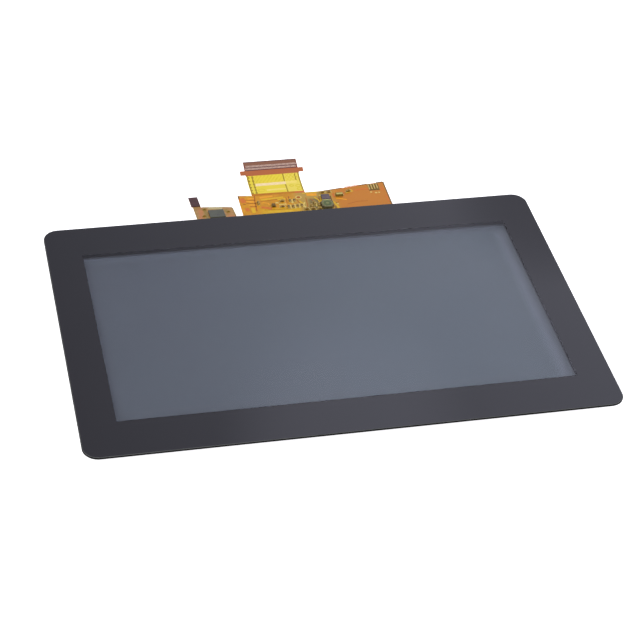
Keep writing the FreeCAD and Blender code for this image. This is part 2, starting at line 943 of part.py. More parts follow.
def boost_inductor():
    """A shielded coil: a block with cut corners on a smaller foot."""
    x, y = on_board(inductor_place)
    half = inductor_size / 2
    cut = half - inductor_corner
    corners = [
        (-half, -cut), (-cut, -half), (cut, -half), (half, -cut),
        (half, cut), (cut, half), (-cut, half), (-half, cut),
    ]
    low = board_top + inductor_foot
    body = prism([(x + a, y + b) for a, b in corners], low, board_top + inductor_height)
    foot = block(area(x - half, x + half, y - cut, y + cut), board_top, low)
    return body.fuse(foot)


def boost_diode():
    """A moulded diode with a flat lead at each end."""
    x, y = on_board(diode_place)
    half = diode_length / 2
    body = block(
        area(x - half, x + half, y - diode_width / 2, y + diode_width / 2),
        board_top,
        board_top + diode_height,
    )
    reach = half + diode_lead_length
    leads = block(
        area(x - reach, x + reach, y - diode_lead_width / 2, y + diode_lead_width / 2),
        board_top,
        board_top + diode_lead_height,
    )
    return body.fuse(leads).removeSplitter()


def backlight_solder():
    """Bars of solder on the board's edge, over the light bar's tail."""
    bars = []
    for offset in across(led_tail_width, solder_pitch, solder_width, solder_side):
        x = led_tail_x + offset
        far = board_edge_at(x - solder_width / 2) - solder_edge
        place = area(x - solder_width / 2, x + solder_width / 2, far - solder_length, far)
        bar = block(place, board_top, board_top + solder_height)
        bars.append(bar.makeFillet(solder_height / 2, edges_at(bar, board_top + solder_height)))
    return bars


def touch_runs():
    """The touch flex's bonded stretch and the bend into its slope."""
    return [
        ("run", touch_bond_depth + touch_straight),
        ("bend", touch_bend_radius, -touch_slope_angle),
    ]


def slope_stop():
    """Where the touch flex's slope begins."""
    start_y = sensor["top"] - touch_bond_depth
    return walk(start_y, sensor_top + touch_flex_thickness / 2, touch_runs())[-1]


def touch_slope_outline():
    """The sloping part, drawn level: wide at the bond, and narrow at the tail."""
    tail_left = touch_left + touch_tail_offset
    tail_right = tail_left + touch_tail_width
    tail_end = touch_slope_length + touch_tail_length
    share = (tail_right - touch_left) / touch_width
    return [
        (touch_left - touch_bond_spread, 0),
        (touch_right + touch_bond_spread, 0),
        (touch_right, touch_bond_spread),
        (touch_right - touch_taper, touch_slope_length - touch_slant),
        (tail_right, touch_slope_length - touch_slant * share),
        (tail_right, tail_end),
        (tail_left, tail_end),
        (tail_left, touch_slope_length),
        (touch_left, touch_slope_length),
        (touch_left, touch_bond_spread),
    ]


def touch_flex():
    """The touch sensor's flex circuit, with its wide bond, its slope and its tail."""
    bond = touch_bond_notch()
    half = touch_flex_thickness / 2
    bonded = strip(
        bond["left"],
        bond["right"],
        bond["bottom"],
        sensor_top + half,
        touch_flex_thickness,
        touch_runs(),
    )
    slope = laid_on(prism(touch_slope_outline(), -half, half), slope_stop())
    return bonded.fuse(slope).removeSplitter()


def touch_tail_area(length):
    """The stretch of the narrow tail that is a length from its end, drawn level."""
    left = touch_left + touch_tail_offset
    end = touch_slope_length + touch_tail_length
    return area(left, left + touch_tail_width, end - length, end)


def touch_stiffener():
    """The dark stiff film on the front of the touch flex's tail."""
    front = touch_flex_thickness / 2
    film_top = front + touch_stiffener_thickness
    return laid_on(block(touch_tail_area(touch_tail_length), front, film_top), slope_stop())


def touch_contacts():
    """Gold contacts on the rear of the touch flex's tail."""
    rear = -touch_flex_thickness / 2
    tail = touch_tail_area(touch_contact_length)
    middle = (tail["left"] + tail["right"]) / 2
    half = touch_contact_width / 2
    contacts = []
    for offset in across(
        touch_tail_width, touch_contact_pitch, touch_contact_width, touch_contact_edge
    ):
        x = middle + offset
        place = area(x - half, x + half, tail["bottom"], tail["top"])
        contacts.append(laid_on(block(place, rear - touch_contact_thickness, rear), slope_stop()))
    return contacts


def touch_controller():
    """The touch controller's square chip."""
    size, front = touch_chip_size, touch_flex_thickness / 2
    place = on_touch_flex(touch_chip_place)
    body = chip(place, size, size, front, touch_chip_height, touch_chip_mark)
    return laid_on(body, slope_stop())


def touch_capacitors():
    """Small capacitors beside the touch controller."""
    size, end, front = touch_capacitor_size, touch_capacitor_end, touch_flex_thickness / 2
    return [
        laid_on(end_capped(on_touch_flex(place), place[2], size, end, front), slope_stop())
        for place in touch_capacitor_places
    ]


def power_chip():
    """The square chip that makes the panel's supply voltages."""
    place, size = on_board(power_chip_place), power_chip_size
    return chip(place, size, size, board_top, power_chip_height, power_chip_mark)


def level_chip():
    """The small chip that sets the level of the panel's common electrode."""
    place, length = on_board(level_chip_place), level_chip_length
    return chip(place, length, level_chip_width, board_top, level_chip_height, level_chip_mark)


os.makedirs("parts", exist_ok=True)

# Touch panel.
save("cover_glass", cover_glass())
save("border_print", border_print())
save("optical_adhesive", optical_adhesive())
save("sensor_glass", sensor_glass())
save("touch_flex", touch_flex())
save("touch_controller", touch_controller())
save("touch_capacitors", touch_capacitors())
save("touch_stiffener", touch_stiffener())
save("touch_contacts", touch_contacts())

# Display panel in its frames.
save("panel_tape", panel_tape())
save("front_frame", front_frame())
save("upper_polarizer", upper_polarizer())
save("colour_filter_glass", colour_filter_glass())
save("array_glass", array_glass_plate())
save("lower_polarizer", lower_polarizer())
save("driver_chip_left", driver_chip(-1))
save("driver_chip_right", driver_chip(1))
save("rim_tape", rim_tape())
save("mould_frame", mould_frame())
save("rear_frame", rear_frame())

# Backlight.
save("prism_sheet_upper", film(lower_prism_top, upper_prism_top))
save("prism_sheet_lower", film(diffuser_top, lower_prism_top))
save("diffuser_sheet", film(guide_top, diffuser_top))
save("light_guide", light_guide())
save("reflector_sheet", reflector_sheet())
save("leds", leds())
save("led_flex", led_flex())

# Display flex and what is on it.
save("display_flex", display_flex())
save("tail_stiffener", tail_stiffener())
save("tail_contacts", tail_contacts())
save("board_stiffener", board_stiffener())
save("power_chip", power_chip())
save("level_chip", level_chip())
save("boost_inductor", boost_inductor())
save("boost_diode", boost_diode())
save("board_capacitors", board_capacitors())
save("board_resistors", board_resistors())
save("backlight_solder", backlight_solder())
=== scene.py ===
import math

import bmesh
import bpy
from mathutils import Matrix, Vector


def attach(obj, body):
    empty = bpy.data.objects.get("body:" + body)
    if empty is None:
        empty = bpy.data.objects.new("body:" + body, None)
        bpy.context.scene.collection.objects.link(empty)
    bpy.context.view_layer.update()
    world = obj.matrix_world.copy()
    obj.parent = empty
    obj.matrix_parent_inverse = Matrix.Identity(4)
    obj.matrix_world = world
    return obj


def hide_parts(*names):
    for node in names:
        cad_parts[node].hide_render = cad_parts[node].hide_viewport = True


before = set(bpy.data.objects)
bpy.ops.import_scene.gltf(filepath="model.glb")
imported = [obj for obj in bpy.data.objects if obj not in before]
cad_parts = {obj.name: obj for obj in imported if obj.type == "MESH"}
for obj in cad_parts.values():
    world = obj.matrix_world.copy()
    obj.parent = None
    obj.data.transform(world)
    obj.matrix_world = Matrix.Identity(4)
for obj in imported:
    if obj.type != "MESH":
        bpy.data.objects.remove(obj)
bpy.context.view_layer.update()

# Studio. A pale floor that is lit from within like a light table, a wide soft sky that grows
# brighter to the right and has a pale and a dim spot, and one soft lamp at the near left.
scene = bpy.context.scene
scene.view_settings.view_transform = "Standard"
scene.cycles.transparent_max_bounces = 24


def add_node(tree, kind, inputs=None, **settings):
    """Adds a node, and gives its inputs values or other nodes' sockets."""
    made = tree.nodes.new(kind)
    for name, value in settings.items():
        setattr(made, name, value)
    for name, value in (inputs or {}).items():
        feed(tree, made.inputs[name], value)
    return made


def feed(tree, socket, value):
    """Sets an input, by a link where the value is another node's socket."""
    if isinstance(value, bpy.types.NodeSocket):
        tree.links.new(value, socket)
    else:
        socket.default_value = value


def tint(red, green, blue):
    """A colour from its display values, 0 to 255."""
    shares = [value / 255 for value in (red, green, blue)]
    linear = [s / 12.92 if s <= 0.04045 else ((s + 0.055) / 1.055) ** 2.4 for s in shares]
    return (*linear, 1.0)


sky = bpy.data.worlds.new("studio_sky")
sky.use_nodes = True
scene.world = sky
sky_tree = sky.node_tree
sky_way = add_node(sky_tree, "ShaderNodeTexCoord")
sky_parts = add_node(sky_tree, "ShaderNodeSeparateXYZ", {0: sky_way.outputs["Generated"]})
sky_rise = add_node(
    sky_tree,
    "ShaderNodeMapRange",
    {"Value": sky_parts.outputs["X"], "From Min": -0.1, "From Max": 0.48, "To Min": 0.27,
     "To Max": 1.45},
    interpolation_type="SMOOTHSTEP",
)
sky_level = sky_rise.outputs["Result"]
for spot_way, half_angle, change in (
    ((0.214, 0.705, 0.677), 4.0, 0.42), ((0.325, 0.757, 0.567), 3.4, -0.5),
):
    near = add_node(sky_tree, "ShaderNodeVectorMath",
                    {0: sky_way.outputs["Generated"], 1: Vector(spot_way).normalized()},
                    operation="DOT_PRODUCT")
    spot = add_node(
        sky_tree, "ShaderNodeMapRange",
        {"Value": near.outputs["Value"], "From Min": math.cos(math.radians(half_angle)),
         "To Max": change},
        interpolation_type="SMOOTHSTEP",
    )
    sky_level = add_node(sky_tree, "ShaderNodeMath", {0: sky_level, 1: spot.outputs["Result"]},
                         operation="ADD").outputs[0]
feed(sky_tree, sky_tree.nodes["Background"].inputs["Color"], (0.95, 0.935, 1.085, 1.0))
feed(sky_tree, sky_tree.nodes["Background"].inputs["Strength"], sky_level)

lamp_light = bpy.data.lights.new("soft_lamp", "AREA")
lamp_light.size = 0.9
lamp_light.energy = 9.0
lamp = bpy.data.objects.new("soft_lamp", lamp_light)
lamp.location = (-0.55, -0.35, 1.1)
lamp.rotation_euler = (Vector((0, 0.02, 0)) - lamp.location).to_track_quat("-Z", "Y").to_euler()
scene.collection.objects.link(lamp)

view_camera = bpy.data.objects.new("view_camera", bpy.data.cameras.new("view_camera"))
view_camera.data.lens = 109.54
view_camera.data.sensor_width = 36.0
view_camera.location = (-0.139221, -0.499396, 0.430426)
view_camera.rotation_euler = [math.radians(turn) for turn in (50.46997, -3.64617, -12.45346)]
scene.collection.objects.link(view_camera)
scene.camera = view_camera

floor_material = bpy.data.materials.new("pale_floor")
floor_material.use_nodes = True
floor_tree = floor_material.node_tree
floor_shader = floor_tree.nodes["Principled BSDF"]
floor_shader.inputs["Base Color"].default_value = (0.7, 0.7, 0.71, 1.0)
floor_shader.inputs["Roughness"].default_value = 0.9
floor_shader.inputs["Emission Color"].default_value = (1.0, 1.0, 1.0, 1.0)
floor_shader.inputs["Emission Strength"].default_value = 0.95
floor_below = add_node(
    floor_tree,
    "ShaderNodeMixShader",
    {
        0: add_node(floor_tree, "ShaderNodeNewGeometry").outputs["Backfacing"],
        1: floor_shader.outputs[0],
        2: add_node(floor_tree, "ShaderNodeBsdfTransparent").outputs[0],
    },
)
feed(floor_tree, floor_tree.nodes["Material Output"].inputs["Surface"], floor_below.outputs[0])
floor_mesh = bpy.data.meshes.new("floor")
bm = bmesh.new()
bmesh.ops.create_grid(bm, x_segments=8, y_segments=8, size=9.0)
bm.to_mesh(floor_mesh)
bm.free()
floor_mesh.materials.append(floor_material)
floor = bpy.data.objects.new("floor", floor_mesh)
scene.collection.objects.link(floor)

# Cover glass. A toughened soda-lime plate, cut with rounded corners and ground along its edge
# to a narrow matt bevel. It is drawn here so that its ground edge, and the part of its front
# that lies on ink, have finishes of their own.
GLASS_CENTRE = (0.0, 0.0)
GLASS_SIZE = (179.96, 119.0)
GLASS_LOW, GLASS_HIGH = 6.103, 6.9
GLASS_CORNER = 5.3
FRONT_BEVEL, REAR_BEVEL = 0.32, 0.15
PRINT_INSET = 0.2
CLEAR_CENTRE = (0.045, -0.1)
CLEAR_HALF = (77.545, 43.61)


def thicken(bm, verts, thickness, index=0):
    """Raises a level sheet into a closed body, and gives back all its vertices."""
    sheet = set(verts)
    base = [face for face in bm.faces if sheet.issuperset(face.verts)]
    lifted = bmesh.ops.extrude_face_region(bm, geom=base, use_keep_orig=True)["geom"]
    top = [part for part in lifted if isinstance(part, bmesh.types.BMVert)]
    bmesh.ops.translate(bm, vec=(0.0, 0.0, thickness), verts=top)
    body = sheet.union(top)
    shell = [face for face in bm.faces if body.issuperset(face.verts)]
    for face in shell:
        face.material_index = index
    bmesh.ops.recalc_face_normals(bm, faces=shell)
    return list(body)


def add_plate(bm, centre, size, low, high, corner=0.0, segments=10, index=0):
    """Adds a level plate with rounded upright corners to a mesh, in millimetres."""
    verts = bmesh.ops.create_grid(bm, x_segments=1, y_segments=1, size=0.5)["verts"]
    bmesh.ops.scale(bm, vec=(size[0], size[1], 1.0), verts=verts)
    bmesh.ops.translate(bm, vec=(centre[0], centre[1], low), verts=verts)
    if corner:
        rounded = bmesh.ops.bevel(
            bm, geom=verts, offset=corner, offset_type="OFFSET", segments=segments,
            profile=0.5, affect="VERTICES", material=-1,
        )
        verts = rounded["verts"]
    return thicken(bm, verts, high - low, index)


def piece_from(bm, name, materials):
    """Turns a mesh drawn in millimetres into an object in metres, at the origin."""
    bmesh.ops.scale(bm, vec=(0.001, 0.001, 0.001), verts=bm.verts)
    mesh = bpy.data.meshes.new(name)
    bm.to_mesh(mesh)
    bm.free()
    for material in materials:
        mesh.materials.append(material)
    made = bpy.data.objects.new(name, mesh)
    scene.collection.objects.link(made)
    return made


def effect_group(name, inputs, outputs):
    """Starts a shader node group, and gives it, its tree's ends and their sockets."""
    group = bpy.data.node_groups.new(name, "ShaderNodeTree")
    for socket_name, kind in inputs:
        group.interface.new_socket(socket_name, in_out="INPUT", socket_type="NodeSocket" + kind)
    for socket_name, kind in outputs:
        group.interface.new_socket(socket_name, in_out="OUTPUT", socket_type="NodeSocket" + kind)
    return group, group.nodes.new("NodeGroupInput"), group.nodes.new("NodeGroupOutput")


# Patches of two shades, and a fine grain that also drives the gloss and the relief.
finish_group, finish_in, finish_out = effect_group(
    "shade_and_grain",
    [("Vector", "Vector"), ("Shade One", "Color"), ("Shade Two", "Color"),
     ("Patch Scale", "Float"), ("Grain Scale", "Float"), ("Gloss Low", "Float"),
     ("Gloss High", "Float")],
    [("Color", "Color"), ("Roughness", "Float"), ("Height", "Float")],
)
patches = add_node(
    finish_group, "ShaderNodeTexNoise",
    {"Vector": finish_in.outputs["Vector"], "Scale": finish_in.outputs["Patch Scale"],
     "Detail": 4.0, "Roughness": 0.6},
)
patch_spread = add_node(
    finish_group, "ShaderNodeMapRange",
    {"Value": patches.outputs["Fac"], "From Min": 0.34, "From Max": 0.66},
)
grains = add_node(
    finish_group, "ShaderNodeTexNoise",
    {"Vector": finish_in.outputs["Vector"], "Scale": finish_in.outputs["Grain Scale"],
     "Detail": 3.0},
)
gloss = add_node(
    finish_group, "ShaderNodeMapRange",
    {"Value": grains.outputs["Fac"], "From Min": 0.3, "From Max": 0.7,
     "To Min": finish_in.outputs["Gloss Low"], "To Max": finish_in.outputs["Gloss High"]},
)
shade = add_node(
    finish_group, "ShaderNodeMix",
    {"Factor": patch_spread.outputs["Result"], 6: finish_in.outputs["Shade One"],
     7: finish_in.outputs["Shade Two"]},
    data_type="RGBA",
)
feed(finish_group, finish_out.inputs["Color"], shade.outputs[2])
feed(finish_group, finish_out.inputs["Roughness"], gloss.outputs["Result"])
feed(finish_group, finish_out.inputs["Height"], grains.outputs["Fac"])


def finished(name, shade_one, shade_two, patch, grain, gloss_range, relief, metal=0.0,
             specular=0.5, stretch=(1.0, 1.0, 1.0)):
    """A material with patches and grain of the given sizes, and a relief, in millimetres."""
    material = bpy.data.materials.new(name)
    material.use_nodes = True
    tree = material.node_tree
    shader = tree.nodes["Principled BSDF"]
    places = add_node(
        tree, "ShaderNodeMapping",
        {"Vector": add_node(tree, "ShaderNodeTexCoord").outputs["Object"], "Scale": stretch},
    )
    finish = add_node(tree, "ShaderNodeGroup", node_tree=finish_group)
    for socket, value in (
        ("Vector", places.outputs[0]), ("Shade One", shade_one), ("Shade Two", shade_two),
        ("Patch Scale", 1000 / patch), ("Grain Scale", 1000 / grain),
        ("Gloss Low", gloss_range[0]), ("Gloss High", gloss_range[1]),
    ):
        feed(tree, finish.inputs[socket], value)
    bump = add_node(
        tree, "ShaderNodeBump",
        {"Height": finish.outputs["Height"], "Strength": 0.6, "Distance": relief / 1000},
    )
    feed(tree, shader.inputs["Base Color"], finish.outputs["Color"])
    feed(tree, shader.inputs["Roughness"], finish.outputs["Roughness"])
    feed(tree, shader.inputs["Normal"], bump.outputs["Normal"])
    shader.inputs["Metallic"].default_value = metal
    shader.inputs["Specular IOR Level"].default_value = specular
    return material


def see_through(material, share):
    """Mixes a material with clear space: share is what its own surface keeps."""
    tree = material.node_tree
    mix = add_node(
        tree, "ShaderNodeMixShader",
        {0: share, 1: add_node(tree, "ShaderNodeBsdfTransparent").outputs[0],
         2: tree.nodes["Principled BSDF"].outputs[0]},
    )
    feed(tree, tree.nodes["Material Output"].inputs["Surface"], mix.outputs[0])
    return mix


def front_gloss(tree, bend, part):
    """How much a clear sheet mirrors by angle. Its inner side, bonded to ink, doesn't."""
    mirrored = add_node(tree, "ShaderNodeFresnel", {"IOR": bend})
    outside = add_node(
        tree, "ShaderNodeMath",
        {0: part, 1: add_node(tree, "ShaderNodeNewGeometry").outputs["Backfacing"]},
        operation="SUBTRACT", use_clamp=True,
    )
    kept = add_node(
        tree, "ShaderNodeMath", {0: mirrored.outputs[0], 1: outside.outputs[0]},
        operation="MULTIPLY",
    )
    return kept.outputs[0]


glass_face = finished(
    "polished_glass", tint(250, 252, 255), tint(240, 244, 250), 60.0, 14.0, (0.015, 0.05), 0.0,
    metal=1.0,
)
see_through(glass_face, front_gloss(glass_face.node_tree, 1.5, 1.0))
# Painted shade and a painted highlight: the ground glass wall is near black, as if in shade, and
# the upper facet of the front bevel is pale grey, as a highlight.
glass_edge = finished(
    "ground_glass_edge_painted_shade", tint(16, 17, 17), tint(12, 13, 13), 3.0, 0.3, (0.6, 0.8), 0.004,
    specular=0.0,
)
glass_bevel = finished(
    "ground_glass_bevel_painted_highlight", tint(88, 89, 86), tint(76, 78, 76), 3.0, 0.3, (0.5, 0.7), 0.004,
    specular=0.0,
)
glass_on_ink = finished(
    "polished_glass_on_ink", tint(30, 29, 31), tint(28, 28, 30), 60.0, 14.0, (0.015, 0.05), 0.0,
)
ink_shader = glass_on_ink.node_tree.nodes["Principled BSDF"]
ink_shader.inputs["Specular Tint"].default_value = (0.866, 0.902, 0.959, 1.0)
bm = bmesh.new()
add_plate(bm, GLASS_CENTRE, GLASS_SIZE, GLASS_LOW, GLASS_HIGH, GLASS_CORNER, 14)
for height, bevel, steps in ((GLASS_HIGH, FRONT_BEVEL, 2), (GLASS_LOW, REAR_BEVEL, 1)):
    rim = [e for e in bm.edges if all(abs(v.co.z - height) < 1e-6 for v in e.verts)]
    bmesh.ops.bevel(
        bm, geom=rim, offset=bevel, offset_type="OFFSET", segments=steps, profile=0.5,
        affect="EDGES", material=-1,
    )
bm.normal_update()
for face in bm.faces:
    face.material_index = 0 if abs(face.normal.z) > 0.99 else 2 if face.normal.z > 0.8 else 1
    face.smooth = abs(face.normal.z) < 0.8
rear = [face for face in bm.faces if face.normal.z < -0.99]
for face in bmesh.ops.inset_region(bm, faces=rear, thickness=PRINT_INSET)["faces"]:
    face.material_index = 1
for way, centre, half in zip(((1, 0, 0), (0, 1, 0)), CLEAR_CENTRE, CLEAR_HALF):
    for place in (centre - half, centre + half):
        front = [face for face in bm.faces if face.normal.z > 0.99]
        edges = {edge for face in front for edge in face.edges}
        bmesh.ops.bisect_plane(
            bm, geom=front + list(edges), dist=1e-5, plane_co=Vector(way) * place, plane_no=way,
        )
for face in bm.faces:
    middle = face.calc_center_median()
    inked = any(abs(middle[k] - CLEAR_CENTRE[k]) > CLEAR_HALF[k] for k in (0, 1))
    if face.normal.z > 0.99 and inked:
        face.material_index = 3
cover_plate = piece_from(
    bm, "cover_plate", [glass_face, glass_edge, glass_bevel, glass_on_ink],
)
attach(cover_plate, "root")
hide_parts("cover_glass")


def dress(material, *names):
    """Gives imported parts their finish."""
    for name in names:
        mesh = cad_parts[name].data
        mesh.materials.clear()
        mesh.materials.append(material)


# Printed border. Black glass ink, screened on the cover glass's rear face in two passes and
# baked on, with a window for the picture.
dress(
    finished("black_glass_ink", tint(14, 14, 17), tint(10, 10, 13), 25.0, 0.25, (0.5, 0.7),
             0.002, specular=0.1),
    "border_print",
)

# Clear adhesive and the touch sensor's glass, bonded face to face. The sensor's free rear face
# mirrors a little. The sensor's border and the cut edges of both are opaque and near black: painted
# shade, for the shade that lies under the printed border.
BORDER_SHADE_DARK = tint(22, 24, 25)
CLEAR_SHEETS_Y = 1.8
ADHESIVE_HALF = (82.5, 50.0)
SENSOR_CLEAR_HALF = (80.5, 47.0)


def between(tree, value, centre, half):
    """One where a coordinate is within half of a centre, in millimetres, and zero elsewhere."""
    inside = add_node(
        tree, "ShaderNodeMath", {0: value, 1: centre / 1000, 2: half / 1000},
        operation="COMPARE",
    )
    return inside.outputs[0]


def both(tree, one, other):
    """Where two masks meet."""
    return add_node(tree, "ShaderNodeMath", {0: one, 1: other}, operation="MULTIPLY").outputs[0]


def all_but(tree, mask):
    """Where a mask isn't."""
    return add_node(tree, "ShaderNodeMath", {0: 1.0, 1: mask}, operation="SUBTRACT").outputs[0]


def repaint(material, mask, colour):
    """Lays another colour over a material where a mask says so."""
    tree = material.node_tree
    socket = tree.nodes["Principled BSDF"].inputs["Base Color"]
    below = socket.links[0].from_socket
    mixed = add_node(tree, "ShaderNodeMix", {"Factor": mask, 6: below, 7: colour},
                     data_type="RGBA")
    feed(tree, socket, mixed.outputs[2])


def places_of(tree):
    """X, Y and Z of the surface, in metres."""
    spot = add_node(tree, "ShaderNodeTexCoord").outputs["Object"]
    parts = add_node(tree, "ShaderNodeSeparateXYZ", {0: spot})
    return parts.outputs["X"], parts.outputs["Y"], parts.outputs["Z"]


def within(tree, centre, half):
    """Inside a level rectangle with the given half widths."""
    x, y, z = places_of(tree)
    return both(tree, between(tree, x, centre[0], half[0]), between(tree, y, centre[1], half[1]))


def with_painted_shade_rim(material, kept, half):
    """Gives a clear sheet an opaque rim of painted shade: all that is outside the two half widths.
    """
    tree = material.node_tree
    rim = all_but(tree, within(tree, (0.0, CLEAR_SHEETS_Y), half))
    # Painted shade: the rim is near black and closed to light.
    repaint(material, rim, BORDER_SHADE_DARK)
    share = add_node(tree, "ShaderNodeMath", {0: kept, 1: rim}, operation="MAXIMUM")
    see_through(material, share.outputs[0])


adhesive = finished(
    "clear_adhesive", tint(235, 238, 240), tint(228, 232, 236), 20.0, 2.0, (0.2, 0.3), 0.0,
)
with_painted_shade_rim(adhesive, 0.004, ADHESIVE_HALF)
dress(adhesive, "optical_adhesive")
sensor_face = finished(
    "sensor_glass", tint(196, 212, 206), tint(186, 204, 200), 30.0, 1.5, (0.04, 0.09), 0.0,
)
with_painted_shade_rim(sensor_face, front_gloss(sensor_face.node_tree, 1.5, 0.12), SENSOR_CLEAR_HALF)
dress(sensor_face, "sensor_glass")

# Picture face. The upper polarizer, a triacetate film with a fine anti-glare coating, is grey-blue
# over the dark picture and black along its cut edges. Painted light makes it paler towards the
# right, a painted sheen of the brighter sky there, and paler along its right and top edges, to
# offset the shade that the border casts there.
PICTURE_HALF = (78.8, 44.6)
PICTURE_CENTRE = (0.0, 0.4)


def rising(tree, value, low, high):
    """Zero at low, one at high and smooth between, in millimetres."""
    slope = add_node(
        tree, "ShaderNodeMapRange",
        {"Value": value, "From Min": low / 1000, "From Max": high / 1000},
        interpolation_type="SMOOTHSTEP",
    )
    return slope.outputs["Result"]


picture_face = finished(
    "anti_glare_polarizer", tint(73, 80, 88), tint(71, 77, 86), 45.0, 0.12, (0.55, 0.7), 0.003,
    specular=0.12,
)
tree = picture_face.node_tree
x, y, z = places_of(tree)
# Painted light: a paler tone towards the right, and paler strips along the right and top edges
# against the border's shade.
for low, high, place, shade in (
    (-75.0, 30.0, x, tint(78, 88, 96)), (71.0, 77.2, x, tint(106, 113, 124)),
    (39.5, 44.5, y, tint(90, 98, 109)), (43.2, 44.6, y, tint(120, 128, 142)),
):
    repaint(picture_face, rising(tree, place, low, high), shade)
outside_picture = all_but(tree, within(tree, PICTURE_CENTRE, PICTURE_HALF))
repaint(picture_face, outside_picture, tint(12, 12, 16))
dress(picture_face, "upper_polarizer")

# Panel glasses, rear polarizer and driver chips. Thin alkali-free glass with a dark mask and
# metal lines, a smoke-grey film behind it, and two bare slivers of silicon on the ledge.
dress(
    finished("panel_glass", tint(58, 66, 68), tint(46, 54, 58), 12.0, 0.4, (0.08, 0.16), 0.001),
    "colour_filter_glass", "array_glass",
)
dress(
    finished("rear_polarizer", tint(88, 84, 80), tint(78, 76, 74), 25.0, 0.5, (0.3, 0.45), 0.001),
    "lower_polarizer",
)
dress(
    finished("bare_silicon", tint(70, 74, 92), tint(58, 60, 78), 2.5, 0.3, (0.12, 0.22), 0.001,
             metal=0.6),
    "driver_chip_left", "driver_chip_right",
)

# Tapes. Black acrylic foam between the front frame and the sensor, and a black film tape on
# the moulding's shelf.
dress(
    finished("black_foam_tape", tint(34, 34, 35), tint(24, 24, 25), 0.9, 0.25, (0.85, 0.97),
             0.06, specular=0.2),
    "panel_tape",
)
dress(
    finished("black_film_tape", tint(26, 26, 28), tint(20, 20, 22), 8.0, 0.4, (0.4, 0.55), 0.003),
    "rim_tape",
)

# Steel frames. Both are pressed from bright rolled stainless sheet and folded, so the grain runs
# along the strip. Round its window the front frame is a matt light grey, not metal: painted light
# that offsets the shade under the border and carries the picture's tone to the window's edge.
RIM_HALF = (81.0, 47.4)
STEEL = (tint(186, 187, 188), tint(168, 170, 172), 18.0, 0.5, (0.24, 0.4), 0.006)
dress(finished("rolled_steel", *STEEL, metal=1.0, stretch=(0.06, 1.0, 1.0)), "rear_frame")
front_steel = finished("steel_with_painted_light_rim", *STEEL, metal=1.0, stretch=(0.06, 1.0, 1.0))
tree = front_steel.node_tree
# Painted light: a light grey round the window, brighter than the picture, to offset the shade under
# the border.
lit_rim = within(tree, PICTURE_CENTRE, RIM_HALF)
repaint(front_steel, lit_rim, tint(104, 108, 118))
feed(tree, tree.nodes["Principled BSDF"].inputs["Metallic"], all_but(tree, lit_rim))
dress(front_steel, "front_frame")

# Moulded frame. White filled polycarbonate with the tool's fine spark texture. It holds the
# backlight's sheets and carries the panel.
dress(
    finished("white_polycarbonate", tint(233, 234, 232), tint(224, 225, 222), 6.0, 0.2,
             (0.45, 0.6), 0.01),
    "mould_frame",
)

# Backlight sheets. A white reflector, a clear acrylic guide with a printed dot field, a
# milky diffuser and two prism films whose ridges are too fine to tell apart.
dress(
    finished("white_reflector", tint(240, 241, 243), tint(232, 234, 237), 14.0, 0.5, (0.3, 0.4),
             0.002),
    "reflector_sheet",
)
guide_acrylic = finished(
    "clear_acrylic", tint(232, 240, 240), tint(222, 233, 234), 20.0, 1.2, (0.05, 0.12), 0.001,
)
see_through(guide_acrylic, 0.35)
dress(guide_acrylic, "light_guide")
dress(
    finished("milky_diffuser", tint(236, 238, 240), tint(228, 231, 234), 16.0, 0.3, (0.6, 0.75),
             0.002),
    "diffuser_sheet",
)
dress(
    finished("ridged_prism_film", tint(206, 212, 218), tint(190, 198, 206), 30.0, 0.12,
             (0.2, 0.35), 0.02, stretch=(0.02, 1.0, 1.0)),
    "prism_sheet_upper", "prism_sheet_lower",
)

# Lamps and their strip. Each lamp is a white cup with a yellow phosphor window towards the
# guide. The strip has a white mask over its bar, and its tail is bare amber film.
LAMP_WINDOW_Y = 45.74
STRIP_BACK_Y = 47.3
lamp_cup = finished(
    "white_lamp_cup", tint(238, 238, 234), tint(230, 230, 226), 1.5, 0.2, (0.4, 0.5), 0.004,
)
tree = lamp_cup.node_tree
x, y, z = places_of(tree)
repaint(lamp_cup, between(tree, y, LAMP_WINDOW_Y, 0.02), tint(232, 214, 92))
dress(lamp_cup, "leds")
strip_mask = finished(
    "lamp_strip_film", tint(190, 126, 58), tint(176, 112, 48), 3.0, 0.3, (0.3, 0.45), 0.004,
)
tree = strip_mask.node_tree
x, y, z = places_of(tree)
on_bar = add_node(tree, "ShaderNodeMath", {0: y, 1: STRIP_BACK_Y / 1000}, operation="LESS_THAN")
repaint(strip_mask, on_bar.outputs[0], tint(236, 238, 236))
dress(strip_mask, "led_flex")

# Display flex film. One piece of copper-clad polyimide: the neck and the component board are
# amber over copper, the tail is clear yellow, and its plug end has a red-brown cover film.
BOARD_EDGE_Y = 75.05
BOARD_TOP_Z = 3.59
TAIL_CENTRE_X = -0.4
TAIL_HALF = 10.1
TAIL_LEVEL = 5.26
TAIL_CURL_RADIUS = 25.0
TAIL_CURL = math.radians(15.0)
TAIL_LENGTH = TAIL_LEVEL + TAIL_CURL_RADIUS * TAIL_CURL
TAIL_MIDDLE_Z = 3.49
FILM_HALF = 0.05
PLUG_START_Y = 86.77
CONTACTS_START_Y = 89.35
PLUG_TIP_START_Y = 91.75
display_film = finished(
    "display_flex_film", tint(210, 146, 28), tint(188, 130, 26), 2.6, 0.35, (0.3, 0.45), 0.003,
    specular=0.2,
)
tree = display_film.node_tree
x, y, z = places_of(tree)
repaint(display_film, both(tree, rising(tree, x, 3.0, 8.0), rising(tree, x, 24.0, 17.0)),
        tint(174, 142, 64))
